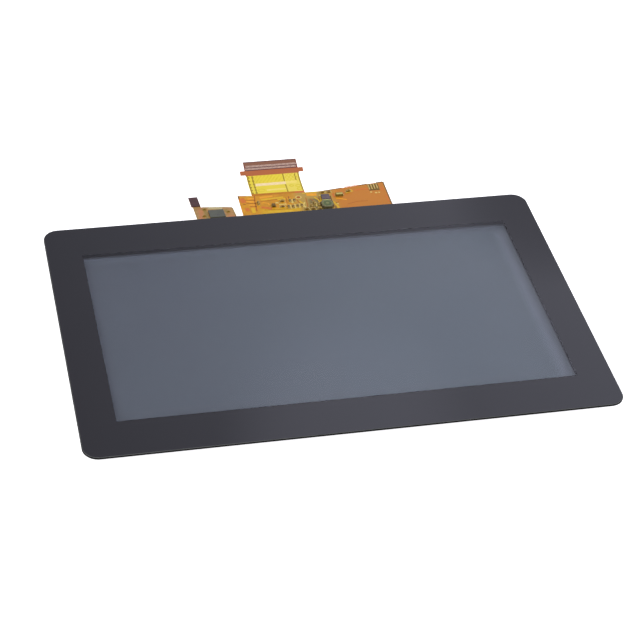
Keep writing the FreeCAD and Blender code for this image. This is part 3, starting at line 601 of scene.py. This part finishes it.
# Painted shade: a darker olive patch on the film left of the coil, where the parts shade it.
shade_by_coil = both(tree, rising(tree, x, 8.6, 11.0), rising(tree, x, 17.0, 15.0))
repaint(display_film, both(tree, shade_by_coil, rising(tree, y, 71.6, 69.8)), tint(122, 106, 60))
repaint(display_film, rising(tree, x, 17.0, 23.0), tint(190, 120, 38))
near_glass = both(tree, rising(tree, x, -11.0, -7.0), rising(tree, x, 7.0, 5.0))
repaint(display_film, both(tree, near_glass, rising(tree, y, 67.2, 66.0)), tint(205, 160, 24))
beyond = add_node(tree, "ShaderNodeMath", {0: y, 1: BOARD_EDGE_Y / 1000},
                  operation="GREATER_THAN")
on_tail = both(tree, beyond.outputs[0], between(tree, x, TAIL_CENTRE_X, 12.4))
repaint(display_film, on_tail, tint(224, 204, 62))
repaint(display_film, both(tree, on_tail, rising(tree, x, 3.4, 4.2)), tint(226, 207, 84))
for start, colour in (
    (PLUG_START_Y, tint(172, 99, 58)), (CONTACTS_START_Y, tint(122, 68, 52)),
    (PLUG_TIP_START_Y, tint(133, 92, 70)),
):
    past = add_node(tree, "ShaderNodeMath", {0: y, 1: start / 1000}, operation="GREATER_THAN")
    repaint(display_film, both(tree, on_tail, past.outputs[0]), colour)
dress(display_film, "display_flex")


def along_tail(x, way, height):
    """A point on the display flex's tail: way is along it from the board's edge."""
    turn = min(max(way - TAIL_LEVEL, 0.0) / TAIL_CURL_RADIUS, TAIL_CURL)
    level = min(way, TAIL_LEVEL)
    past = max(way - TAIL_LENGTH, 0.0)
    sine, cosine = math.sin(turn), math.cos(turn)
    y = BOARD_EDGE_Y + level + TAIL_CURL_RADIUS * sine + past * cosine - height * sine
    z = TAIL_MIDDLE_Z + TAIL_CURL_RADIUS * (1 - cosine) + past * sine + height * cosine
    return Vector((x, y, z))


def add_trace(bm, points, width, thickness, low=0.0, index=0):
    """Adds a flat strip of foil or print that follows level points."""
    points = [Vector((point[0], point[1], low)) for point in points]
    ways = [(b - a).normalized() for a, b in zip(points, points[1:])]
    turns = [ways[0]] + [(a + b).normalized() for a, b in zip(ways, ways[1:])] + [ways[-1]]
    last = len(points) - 1
    strip = bmesh.ops.create_grid(bm, x_segments=1, y_segments=last, size=1.0)["verts"]
    for vert in strip:
        stop = round((vert.co.y + 1) / 2 * last)
        across = Vector((turns[stop].y, -turns[stop].x, 0.0)) * width / 2
        vert.co = points[stop] + across * vert.co.x
    return thicken(bm, strip, thickness, index)


def add_dot(bm, centre, radius, thickness, low=0.0, index=0, stretch=1.0):
    """Adds a round or oval spot of foil or solder."""
    disc = bmesh.ops.create_circle(bm, cap_ends=True, segments=14, radius=radius)["verts"]
    bmesh.ops.scale(bm, vec=(stretch, 1.0, 1.0), verts=disc)
    bmesh.ops.translate(bm, vec=(centre[0], centre[1], low), verts=disc)
    return thicken(bm, disc, thickness, index)


def bend_to_tail(bm):
    """Lays what was drawn level, with Y as the way along the tail, on the tail."""
    for vert in bm.verts:
        vert.co = along_tail(vert.co.x, vert.co.y, FILM_HALF + vert.co.z)


# Tail foil. Hatched ground copper shows through the tail's yellow film, with two dark lines
# of stitching holes near its left edge, one line right of its middle and two at its right.
HATCH_PITCH = 1.45
HATCH_LEAN = 0.75
foil_shade = finished(
    "foil_under_film", tint(212, 192, 48), tint(222, 202, 58), 1.5, 0.2, (0.3, 0.45), 0.002,
    specular=0.2,
)
dark_foil = finished(
    "dark_foil_line", tint(170, 147, 42), tint(148, 125, 36), 1.5, 0.2, (0.3, 0.45), 0.002,
    specular=0.2,
)


def add_hatch(bm, left, right, near, far, lean, width):
    """Adds slanted strips across a rectangle, each ended at its sides."""
    reach = (far - near) * lean
    start = left - abs(reach)
    while start < right + abs(reach):
        ends = []
        for y, x in ((near, start), (far, start + reach)):
            kept = min(max(x, left), right)
            ends.append((kept, y + (kept - x) / lean))
        if ends[1][1] - ends[0][1] > 0.6:
            stops = [Vector(ends[0]).lerp(ends[1], step / 5) for step in range(6)]
            add_trace(bm, stops, width, 0.01)
        start += HATCH_PITCH


bm = bmesh.new()
add_hatch(bm, TAIL_CENTRE_X - 7.3, 3.0, 7.9, 11.7, HATCH_LEAN, 0.55)
add_hatch(bm, 4.1, TAIL_CENTRE_X + 9.3, 7.9, 11.7, HATCH_LEAN, 0.35)
add_hatch(bm, 4.1, TAIL_CENTRE_X + 9.3, 7.9, 11.7, -HATCH_LEAN, 0.3)
for centre, radius in (((-6.2, 3.3), 0.9), ((5.6, 5.0), 0.55), ((8.1, 4.6), 0.7),
                       ((8.2, 2.6), 0.6)):
    ring = [(centre[0] + 1.4 * radius * math.cos(turn), centre[1] + radius * math.sin(turn))
            for turn in (step * math.tau / 16 for step in range(17))]
    add_trace(bm, ring, 0.5, 0.012)
bend_to_tail(bm)
tail_hatch = piece_from(bm, "tail_hatch", [foil_shade])
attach(tail_hatch, "root")

bm = bmesh.new()
for x, width, start, end in (
    (TAIL_CENTRE_X - 9.75, 0.5, 0.2, TAIL_LENGTH), (TAIL_CENTRE_X - 7.9, 0.42, 1.4, TAIL_LENGTH),
    (3.5, 0.46, 1.2, 6.0), (3.5, 0.46, 7.8, TAIL_LENGTH), (TAIL_CENTRE_X + 8.4, 0.4, 8.0, 11.5),
    (TAIL_CENTRE_X + 9.8, 0.5, 0.9, TAIL_LENGTH),
):
    add_trace(bm, [(x, start + (end - start) * step / 9) for step in range(10)], width, 0.014)
for x in (TAIL_CENTRE_X - 9.45, TAIL_CENTRE_X - 7.9):
    for way in (1.9, 3.7, 5.5, 7.3, 9.1, 10.9):
        add_dot(bm, (x, way), 0.5, 0.018, stretch=0.9)
bend_to_tail(bm)
tail_lines = piece_from(bm, "tail_lines", [dark_foil])
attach(tail_lines, "root")

# Tail marking place and root. A bare pale print field runs across the tail's middle, with a
# fainter one below it. The board's amber cover film ends in a darker edge on the root, and
# bare dark film shows beside the plug's two rows of contacts.
pale_field = finished(
    "pale_print_field", tint(240, 218, 168), tint(232, 208, 150), 1.2, 0.15, (0.45, 0.6), 0.003,
    specular=0.2,
)
faint_field = finished(
    "faint_print_field", tint(236, 216, 116), tint(232, 210, 96), 1.2, 0.15, (0.45, 0.6), 0.003,
    specular=0.2,
)
root_edge = finished(
    "cover_film_edge", tint(188, 122, 24), tint(174, 108, 22), 2.0, 0.2, (0.3, 0.45), 0.003,
    specular=0.2,
)
root_end = finished(
    "cover_film_corner", tint(202, 108, 52), tint(188, 100, 44), 2.0, 0.2, (0.3, 0.45), 0.003,
    specular=0.2,
)
row_gap = finished(
    "dark_row_gap", tint(92, 52, 56), tint(80, 44, 48), 1.2, 0.2, (0.35, 0.5), 0.002,
    specular=0.2,
)
bm = bmesh.new()
add_trace(bm, [(-7.8, 6.8), (-4.1, 6.85), (-0.3, 6.9), (3.8, 6.95)], 1.5, 0.016)
add_trace(bm, [(3.8, 7.1), (6.1, 7.15), (8.0, 7.2)], 1.3, 0.014, index=1)
add_trace(bm, [(-4.2, 3.2), (-0.3, 3.25), (3.2, 3.3)], 1.0, 0.01, index=1)
add_trace(bm, [(TAIL_CENTRE_X - TAIL_HALF, 0.65), (6.0, 0.45)], 1.5, 0.03, index=2)
add_trace(bm, [(6.0, 0.45), (TAIL_CENTRE_X + TAIL_HALF, 0.35)], 1.4, 0.03, index=3)
for past_curl, width in ((3.975, 0.3), (2.7, 0.34), (6.75, 0.3)):
    ends = [(TAIL_CENTRE_X + side * 9.9, TAIL_LENGTH + past_curl) for side in (-1, 1)]
    add_trace(bm, ends, width, 0.006, index=4)
bend_to_tail(bm)
tail_fields = piece_from(
    bm, "tail_fields", [pale_field, faint_field, root_edge, root_end, row_gap]
)
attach(tail_fields, "root")

# Plug contacts and stiffeners. Two staggered rows of tinned fingers on the plug's front, and
# amber polyimide plates glued behind the plug and the board to keep both flat.
tinned = finished(
    "bright_tin", tint(214, 186, 162), tint(192, 166, 148), 0.8, 0.12, (0.3, 0.45), 0.006,
    metal=0.5,
)
dress(tinned, "tail_contacts")
dress(
    finished("lamp_solder", tint(206, 178, 98), tint(190, 162, 84), 0.8, 0.12, (0.35, 0.5),
             0.006, metal=0.3),
    "backlight_solder",
)
stiff_plate = finished(
    "polyimide_plate", tint(140, 78, 36), tint(126, 68, 32), 3.0, 0.25, (0.3, 0.42), 0.004,
)
dress(stiff_plate, "tail_stiffener", "board_stiffener")

# Board foil. Copper tracks under the board's cover film: wavy bands on the left, a golden plane
# with slots in the middle, dark lines along the board's edges, painted shade beside the coil and
# the supply chip, and the dark opening round the lamp joints.
FOIL = 0.012
track_gold = finished(
    "track_under_film", tint(230, 160, 40), tint(220, 150, 36), 1.6, 0.2, (0.28, 0.4), 0.003,
    specular=0.2,
)
track_gap = finished(
    "etched_gap", tint(172, 100, 30), tint(158, 90, 28), 1.2, 0.2, (0.35, 0.5), 0.003,
    specular=0.2,
)
edge_lines_and_shade = finished(
    "dark_edge_and_painted_shade", tint(122, 96, 44), tint(104, 80, 40), 1.2, 0.2, (0.35, 0.5), 0.004,
    specular=0.2,
)
thin_film = finished(
    "thin_film_window", tint(216, 174, 34), tint(206, 164, 36), 1.8, 0.2, (0.3, 0.45), 0.002,
    specular=0.2,
)
red_copper = finished(
    "mask_over_copper", tint(206, 116, 44), tint(196, 108, 40), 1.2, 0.2, (0.3, 0.45), 0.003,
    specular=0.2,
)
gold_pad = finished(
    "gilded_pad", tint(222, 198, 104), tint(208, 180, 86), 0.7, 0.12, (0.3, 0.45), 0.004,
    metal=0.2,
)
lamp_opening = finished(
    "lamp_joint_opening", tint(116, 92, 40), tint(98, 76, 30), 0.8, 0.15, (0.4, 0.55), 0.004,
    specular=0.2,
)


def on_board(place):
    """X and Y of a place on the board, which is given from near its far left corner."""
    return -15.9 + place[0], 75.31 - place[1]


bm = bmesh.new()
for index, width, places in (
    (4, 2.0, ((1.2, 1.0), (1.6, 3.2), (1.7, 4.0))), (4, 1.5, ((2.0, 7.2), (2.4, 9.2))),
    (4, 1.2, ((7.6, 7.4), (9.0, 8.0), (11.4, 8.8))), (4, 0.8, ((35.8, 2.4), (36.0, 4.9))),
    (4, 1.0, ((54.9, 0.6), (55.1, 2.8))), (4, 0.6, ((55.6, 6.0), (55.7, 10.0))),
    (4, 0.35, ((41.0, -1.1), (46.6, -1.7))), (4, 0.8, ((44.6, 1.3), (47.6, 1.0), (50.0, 1.3))),
    (0, 0.9, ((3.4, 1.9), (4.6, 1.7), (5.9, 1.9))), (0, 1.0, ((2.4, 3.1), (4.0, 3.5), (6.1, 3.9))),
    (0, 0.8, ((3.2, 5.6), (4.6, 5.5), (6.0, 5.8))), (0, 1.0, ((8.0, 1.5), (13.0, 1.2))),
    (0, 0.5, ((8.6, 4.6), (10.6, 5.4), (10.8, 6.6))), (0, 1.6, ((25.8, 1.9), (29.6, 2.2))),
    (0, 0.6, ((36.4, 5.5), (38.0, 5.9), (40.2, 6.9))),
    (3, 1.4, ((4.2, 7.6), (4.4, 10.6))), (3, 0.9, ((8.3, 2.9), (13.0, 2.6), (16.8, 2.3))),
    (3, 1.2, ((9.5, 10.6), (14.0, 10.9), (18.6, 11.2))), (3, 0.9, ((14.4, 3.5), (17.6, 3.4))),
    (3, 0.5, ((24.4, 0.9), (30.0, 0.8))), (3, 0.9, ((34.6, 7.2), (35.6, 9.2), (36.3, 12.2))),
    (3, 1.4, ((40.8, 2.2), (43.6, 1.4))), (3, 0.8, ((31.2, 3.0), (30.4, 7.0))),
    (3, 0.7, ((22.4, 5.4), (23.4, 7.4))), (3, 0.6, ((28.4, 3.8), (29.6, 5.6), (29.8, 7.0))),
    (1, 0.3, ((2.0, 2.3), (4.2, 2.6), (6.1, 2.9))), (1, 0.35, ((2.4, 4.5), (4.4, 4.6), (6.1, 4.9))),
    (1, 0.35, ((3.4, 6.4), (6.0, 6.7))), (1, 0.6, ((1.1, 4.7), (2.2, 4.9))),
    (1, 0.4, ((6.3, 0.2), (5.8, 4.0), (5.5, 9.6))), (1, 0.3, ((0.2, -0.5), (5.3, 0.1))),
    (1, 0.22, ((8.0, 3.9), (13.0, 3.5), (14.6, 3.3))), (1, 0.25, ((8.4, 9.3), (18.4, 9.8))),
    (1, 0.3, ((17.8, 2.6), (17.6, 6.2))), (1, 0.5, ((18.9, 2.0), (18.7, 3.4))),
    (1, 0.35, ((21.6, 4.6), (22.2, 6.8))), (1, 0.3, ((25.2, 3.6), (25.0, 6.6), (24.8, 9.4))),
    (1, 0.3, ((26.6, 4.4), (27.6, 6.0))), (1, 0.3, ((30.2, 3.4), (29.9, 5.4))),
    (1, 0.2, ((34.6, 12.6), (36.9, 7.4))), (1, 0.3, ((36.4, 3.4), (40.6, 2.6))),
    (1, 0.25, ((40.0, 9.6), (44.0, 8.4), (48.0, 8.6))), (1, 0.3, ((46.2, 1.2), (49.4, 1.0))),
    (5, 0.8, ((13.3, 5.4), (14.4, 5.6))), (5, 0.7, ((14.4, 6.6), (17.2, 6.7))),
    (5, 0.6, ((19.8, 4.0), (19.7, 6.6))), (5, 0.5, ((18.5, 7.2), (18.6, 9.8))),
    (5, 0.5, ((20.3, 7.0), (20.2, 9.8))), (5, 0.5, ((22.0, 7.0), (21.8, 9.6))),
    (5, 0.6, ((24.2, 6.4), (23.4, 8.2), (24.0, 9.8))), (5, 0.5, ((28.2, 6.6), (28.3, 9.6))),
    (5, 0.6, ((36.2, 8.6), (36.5, 9.3))), (5, 0.8, ((30.6, 2.6), (31.0, 3.2))),
    # Index 2: dark lines along the board's edges, and painted shade beside the coil and the supply
    # chip.
    (2, 0.45, ((56.45, -2.5), (56.45, 12.0))), (2, 0.4, ((32.0, 0.35), (40.0, -0.7))),
    (2, 0.5, ((46.6, -1.45), (50.0, -1.9))), (2, 0.6, ((53.6, -2.25), (56.2, -2.55))),
    (2, 0.5, ((0.25, -0.4), (0.3, 1.3))), (2, 0.7, ((30.2, 5.2), (30.0, 8.4), (29.4, 11.6))),
    (2, 0.5, ((34.5, 3.6), (34.4, 6.6))), (2, 0.4, ((36.0, 8.0), (34.8, 12.0))),
    (6, 4.1, ((52.05, -1.7), (52.05, 2.4))),
):
    add_trace(bm, [on_board(place) for place in places], width, FOIL + 0.003 * index,
              BOARD_TOP_Z, index)
for place, radius in (((50.4, 3.4), 0.36), ((52.2, 4.0), 0.4), ((53.4, 3.9), 0.34),
                      ((23.8, 12.2), 0.45), ((26.3, 12.4), 0.45), ((28.4, 12.6), 0.45)):
    add_dot(bm, on_board(place), radius, 0.04, BOARD_TOP_Z, 5, 1.2)
for radius, high, index in ((1.05, 0.03, 5), (0.7, 0.036, 1)):
    add_dot(bm, on_board((22.5, 3.1)), radius, high, BOARD_TOP_Z, index, 1.15)
board_tracks = piece_from(
    bm, "board_tracks",
    [track_gold, track_gap, edge_lines_and_shade, thin_film, red_copper, gold_pad, lamp_opening],
)
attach(board_tracks, "root")

# Ceramic capacitors and resistors. Fired blocks with tinned ends, which stand on two gilded
# pads with a fillet of solder at each end; the resistors have a dark glaze on their tops.
CAPACITOR_PLACES = (
    (6.9, 5.1, 90), (15.9, 5.0, 0), (27.6, 7.7, 90), (29.1, 8.9, 90), (26.3, 9.3, 90),
    (24.0, 11.0, 0), (26.4, 11.2, 0), (28.8, 11.5, 0), (31.9, 1.5, 5), (41.9, 1.9, 6),
)
RESISTOR_PLACES = (
    (18.9, 4.9, 90), (20.6, 4.9, 90), (17.7, 8.5, 90), (19.4, 8.7, 90), (21.1, 8.5, 90),
    (22.8, 8.3, 90), (15.4, 8.2, 0), (34.4, 1.3, 5),
)


def add_block(bm, centre, size, low, bevel=0.03, index=0, turned=0.0, waist=1.0):
    """Adds a block with rounded edges on a height; waist is its top's share of its foot."""
    verts = bmesh.ops.create_cube(bm, size=1.0)["verts"]
    for vert in verts:
        if vert.co.z > 0:
            vert.co.xy *= waist
    spot = Matrix.LocRotScale(
        Vector((centre[0], centre[1], low + size[2] / 2)),
        Matrix.Rotation(math.radians(turned), 3, "Z"),
        Vector(size),
    )
    bmesh.ops.transform(bm, matrix=spot, verts=verts)
    edges = list({edge for vert in verts for edge in vert.link_edges})
    rounded = bmesh.ops.bevel(
        bm, geom=edges, offset=bevel, offset_type="OFFSET", segments=2, profile=0.5,
        affect="EDGES", material=-1,
    )["verts"]
    for face in {face for vert in rounded for face in vert.link_faces}:
        face.material_index = index
    return rounded


def add_end_capped(bm, centre, turned, size, end, low):
    """Adds a small part in its solder: body, metal ends, fillets and the two pads below."""
    length, width, height = size
    way = Vector((math.cos(math.radians(turned)), math.sin(math.radians(turned))))
    middle = Vector(centre)
    add_block(bm, middle, (length - end, width - 0.04, height - 0.02), low, 0.05, 0, turned)
    for side in (-1, 1):
        tip = middle + way * side * (length - end) / 2
        add_block(bm, tip, (end, width, height), low, 0.06, 1, turned)
        foot = middle + way * side * (length / 2)
        add_block(bm, foot, (0.45, width + 0.08, height * 0.45), low, 0.05, 1, turned, 0.6)
        add_block(bm, foot, (0.75, width + 0.2, 0.05), low, 0.01, 2, turned)


ceramic = finished(
    "tan_ceramic", tint(150, 118, 46), tint(134, 104, 42), 0.9, 0.12, (0.4, 0.55), 0.006,
    specular=0.3,
)
dull_tin = finished(
    "dull_solder", tint(188, 160, 84), tint(168, 142, 76), 0.7, 0.15, (0.35, 0.5), 0.01,
    metal=0.2,
)
glaze = finished(
    "dark_glaze", tint(122, 94, 36), tint(104, 80, 34), 0.9, 0.12, (0.3, 0.45), 0.004,
    specular=0.3,
)
bm = bmesh.new()
for place in CAPACITOR_PLACES:
    add_end_capped(bm, on_board(place), place[2], (1.6, 0.8, 0.8), 0.35, BOARD_TOP_Z)
chip_capacitors = piece_from(bm, "chip_capacitors", [ceramic, dull_tin, gold_pad])
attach(chip_capacitors, "root")
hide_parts("board_capacitors")

bm = bmesh.new()
for place in RESISTOR_PLACES:
    add_end_capped(bm, on_board(place), place[2], (1.6, 0.8, 0.45), 0.3, BOARD_TOP_Z)
chip_resistors = piece_from(bm, "chip_resistors", [glaze, dull_tin, gold_pad])
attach(chip_resistors, "root")
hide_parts("board_resistors")

# Supply chip and level chip. Moulded resin bodies with a round pin mark. The square one is
# leadless, with tinned lands along its foot; the small one has three folded leads a side.
def add_flat_chip(bm, centre, size, height, low, mark, pitch):
    """Adds a leadless chip: a square resin body, lands on its four sides and its pin mark."""
    add_block(bm, centre, (size, size, height), low, 0.04, 0)
    reach = size / 2
    count = int((size - 1.0) / pitch) + 1
    for number in range(count):
        offset = (number - (count - 1) / 2) * pitch
        for x, y, length, width in (
            (-reach, offset, 0.14, 0.26), (reach, offset, 0.14, 0.26),
            (offset, -reach, 0.26, 0.14), (offset, reach, 0.26, 0.14),
        ):
            spot = (centre[0] + x, centre[1] + y)
            add_block(bm, spot, (length, width, height * 0.3), low, 0.02, 1)
    spot = (centre[0] + mark[0], centre[1] + mark[1])
    add_dot(bm, spot, size / 13, 0.02, low + height - 0.012, 2)


chip_top = finished(
    "moulded_resin", tint(90, 76, 78), tint(78, 66, 70), 1.2, 0.1, (0.3, 0.45), 0.006,
)
pin_mark = finished(
    "pin_mark", tint(58, 54, 54), tint(48, 46, 46), 0.5, 0.1, (0.25, 0.35), 0.002,
)
bm = bmesh.new()
add_flat_chip(bm, on_board((32.4, 4.9)), 3.1, 0.8, BOARD_TOP_Z, (-1.1, 1.1), 0.5)
supply_chip = piece_from(bm, "supply_chip", [chip_top, dull_tin, pin_mark])
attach(supply_chip, "root")
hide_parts("power_chip")

brown_resin = finished(
    "brown_resin", tint(110, 86, 32), tint(94, 74, 30), 0.9, 0.1, (0.35, 0.5), 0.006,
    specular=0.3,
)
bm = bmesh.new()
centre = on_board((12.2, 7.4))
add_block(bm, centre, (1.3, 1.5, 0.7), BOARD_TOP_Z + 0.14, 0.06, 0, waist=0.93)
for side in (-1, 1):
    for offset in (-0.5, 0.0, 0.5):
        spot = (centre[0] + side * 0.78, centre[1] + offset)
        add_block(bm, spot, (0.42, 0.24, 0.12), BOARD_TOP_Z, 0.02, 1)
        add_block(bm, (centre[0] + side * 0.62, spot[1]), (0.12, 0.24, 0.42), BOARD_TOP_Z, 0.02, 1)
add_dot(bm, (centre[0] - 0.3, centre[1] + 0.4), 0.15, 0.02, BOARD_TOP_Z + 0.832, 2)
small_chip = piece_from(bm, "small_chip", [brown_resin, dull_tin, pin_mark])
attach(small_chip, "root")
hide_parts("level_chip")

# Coil. A drum of grey ferrite in a shield with cut corners, potted with pale resin between
# the two, and soldered down by two tinned feet.
shield = finished(
    "grey_ferrite", tint(104, 98, 66), tint(88, 84, 56), 1.4, 0.15, (0.35, 0.5), 0.01,
    specular=0.3,
)
potting = finished(
    "pale_potting", tint(126, 128, 82), tint(112, 116, 72), 0.8, 0.15, (0.4, 0.55), 0.01,
    specular=0.3,
)
core = finished(
    "drum_core", tint(86, 98, 54), tint(74, 86, 46), 0.9, 0.12, (0.3, 0.45), 0.006,
    specular=0.3,
)
pale_band = finished(
    "pale_resin_band", tint(192, 192, 122), tint(178, 178, 108), 0.8, 0.15, (0.4, 0.55), 0.01,
    specular=0.3,
)
bm = bmesh.new()
centre = on_board((32.1, 9.7))
COIL_LOW, COIL_TOP = BOARD_TOP_Z + 0.25, BOARD_TOP_Z + 1.3
add_plate(bm, centre, (4.6, 4.6), COIL_LOW, COIL_TOP, 1.1, 1)
bmesh.ops.bevel(
    bm, geom=[e for e in bm.edges if all(v.co.z > COIL_TOP - 1e-6 for v in e.verts)],
    offset=0.1, offset_type="OFFSET", segments=2, profile=0.5, affect="EDGES", material=-1,
)
for radius, high, index in ((1.95, 0.01, 1), (1.6, 0.03, 2), (0.6, 0.045, 1)):
    disc = bmesh.ops.create_circle(bm, cap_ends=True, segments=36, radius=radius)["verts"]
    bmesh.ops.translate(bm, vec=(*centre, COIL_TOP - 0.05), verts=disc)
    thicken(bm, disc, 0.05 + high, index)
for side in (-1, 1):
    add_block(bm, (centre[0] + side * 2.05, centre[1]), (0.5, 2.2, 0.3), BOARD_TOP_Z, 0.03, 3)
add_block(bm, (centre[0], centre[1] + 2.1), (3.3, 0.3, 0.4), COIL_TOP - 0.37, 0.04, 4)
coil = piece_from(bm, "coil", [shield, potting, core, dull_tin, pale_band])
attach(coil, "root")
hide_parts("boost_inductor")

# Diode. A flat moulded body with a pale cathode band on its top and a folded, tinned lead at
# each end.
olive_resin = finished(
    "olive_resin", tint(136, 116, 42), tint(120, 102, 38), 0.9, 0.1, (0.35, 0.5), 0.006,
    specular=0.3,
)
pale_mark = finished(
    "pale_mark", tint(192, 184, 104), tint(180, 170, 92), 0.9, 0.1, (0.4, 0.5), 0.002,
    specular=0.3,
)
bm = bmesh.new()
centre = on_board((38.0, 3.8))
add_block(bm, centre, (2.7, 1.6, 0.9), BOARD_TOP_Z, 0.07, 0, waist=0.94)
add_block(bm, centre, (2.4, 0.8, 0.02), BOARD_TOP_Z + 0.89, 0.005, 1)
for side in (-1, 1):
    add_block(bm, (centre[0] + side * 1.6, centre[1]), (0.5, 0.6, 0.15), BOARD_TOP_Z, 0.03, 2)
    add_block(bm, (centre[0] + side * 1.38, centre[1]), (0.13, 0.6, 0.5), BOARD_TOP_Z, 0.03, 2)
diode = piece_from(bm, "diode", [olive_resin, pale_mark, dull_tin])
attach(diode, "root")
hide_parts("boost_diode")

# Touch circuit. The sensor's own flex slopes down from the glass with its controller chip,
# and ends in a narrow plug whose front has a dark stiff film and whose rear has gold contacts.
TOUCH_LEFT = -33.3
SLOPE_LENGTH = 18.15
TOUCH_FACE = 0.06
TOUCH_CAPACITOR_PLACES = ((12.3, 5.7), (3.9, 2.7), (3.0, 7.8))
to_slope = Matrix.Translation((0.0, 54.249, 5.586)) @ Matrix.Rotation(math.radians(-9.0), 4, "X")
touch_film = finished(
    "touch_flex_film", tint(172, 130, 68), tint(162, 120, 66), 2.0, 0.3, (0.32, 0.45), 0.003,
    specular=0.25,
)
dress(touch_film, "touch_flex")
dress(
    finished("dark_stiff_film", tint(72, 38, 36), tint(54, 28, 24), 1.6, 0.2, (0.35, 0.5), 0.005,
             specular=0.25),
    "touch_stiffener",
)
dress(
    finished("gold_plating", tint(232, 186, 96), tint(222, 172, 84), 0.8, 0.12, (0.2, 0.32),
             0.003, metal=1.0),
    "touch_contacts",
)


def on_touch(place):
    """X and Y of a place on the slope, drawn level: from its left edge and its left end."""
    return TOUCH_LEFT + place[0], SLOPE_LENGTH - place[1]


olive_foil = finished(
    "olive_foil", tint(150, 124, 56), tint(140, 114, 50), 1.2, 0.2, (0.32, 0.45), 0.003,
    specular=0.25,
)
salmon_foil = finished(
    "copper_plane", tint(184, 122, 70), tint(174, 114, 64), 1.2, 0.2, (0.32, 0.45), 0.003,
    specular=0.25,
)
pale_gold = finished(
    "pale_gold_strip", tint(184, 170, 118), tint(174, 160, 106), 1.2, 0.2, (0.3, 0.42), 0.003,
    specular=0.3,
)
bm = bmesh.new()
for index, width, places in (
    (2, 1.5, ((5.3, 1.7), (9.0, 2.3), (10.6, 2.6))), (1, 1.7, ((2.3, 0.8), (2.3, 4.6))),
    (1, 1.3, ((2.3, 4.6), (1.5, 10.0))), (1, 1.4, ((2.6, 10.4), (4.9, 10.8))),
    (1, 1.6, ((11.6, 9.0), (14.2, 9.8))), (0, 1.1, ((4.1, 0.9), (3.9, 9.8))),
    (0, 0.4, ((0.2, 0.1), (0.25, 12.0))), (0, 0.45, ((14.3, 2.6), (14.5, 12.0))),
    (0, 1.4, ((11.6, 3.5), (11.8, 5.4))), (0, 0.3, ((3.6, 0.25), (14.2, 2.35))),
    (0, 0.24, ((5.6, 10.6), (5.2, 17.0))), (0, 0.24, ((6.8, 10.6), (6.6, 17.0))),
    (0, 0.24, ((8.0, 10.6), (8.0, 17.0))), (0, 0.24, ((9.2, 10.6), (9.4, 17.0))),
):
    add_trace(bm, [on_touch(place) for place in places], width, FOIL, TOUCH_FACE, index)
for place in TOUCH_CAPACITOR_PLACES:
    add_dot(bm, on_touch(place), 0.8, 0.03, TOUCH_FACE, 0)
for number in range(6):
    x = -0.1 + 0.5 * number
    add_trace(bm, [on_touch((x + 0.3, 0.1)), on_touch((x + 0.5, 3.0))], 0.2, FOIL + 0.004,
              TOUCH_FACE, 0)
bm.transform(to_slope)
touch_tracks = piece_from(bm, "touch_tracks", [olive_foil, salmon_foil, pale_gold])
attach(touch_tracks, "root")

grey_resin = finished(
    "grey_resin", tint(76, 80, 64), tint(68, 72, 58), 1.8, 0.12, (0.35, 0.5), 0.006,
    specular=0.4,
)
bm = bmesh.new()
add_flat_chip(bm, on_touch((7.75, 7.2)), 5.7, 0.6, TOUCH_FACE, (0.25, -1.4), 0.5)
bm.transform(to_slope)
touch_chip = piece_from(bm, "touch_chip", [grey_resin, dull_tin, pin_mark])
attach(touch_chip, "root")
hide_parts("touch_controller")

bm = bmesh.new()
for place in TOUCH_CAPACITOR_PLACES:
    add_end_capped(bm, on_touch(place), 0, (1.0, 0.5, 0.5), 0.22, TOUCH_FACE)
bm.transform(to_slope)
coated_end = finished(
    "coated_solder", tint(160, 132, 66), tint(148, 120, 58), 0.7, 0.15, (0.35, 0.5), 0.01,
    specular=0.3,
)
touch_parts = piece_from(bm, "touch_parts", [ceramic, coated_end, olive_foil])
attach(touch_parts, "root")
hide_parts("touch_capacitors")
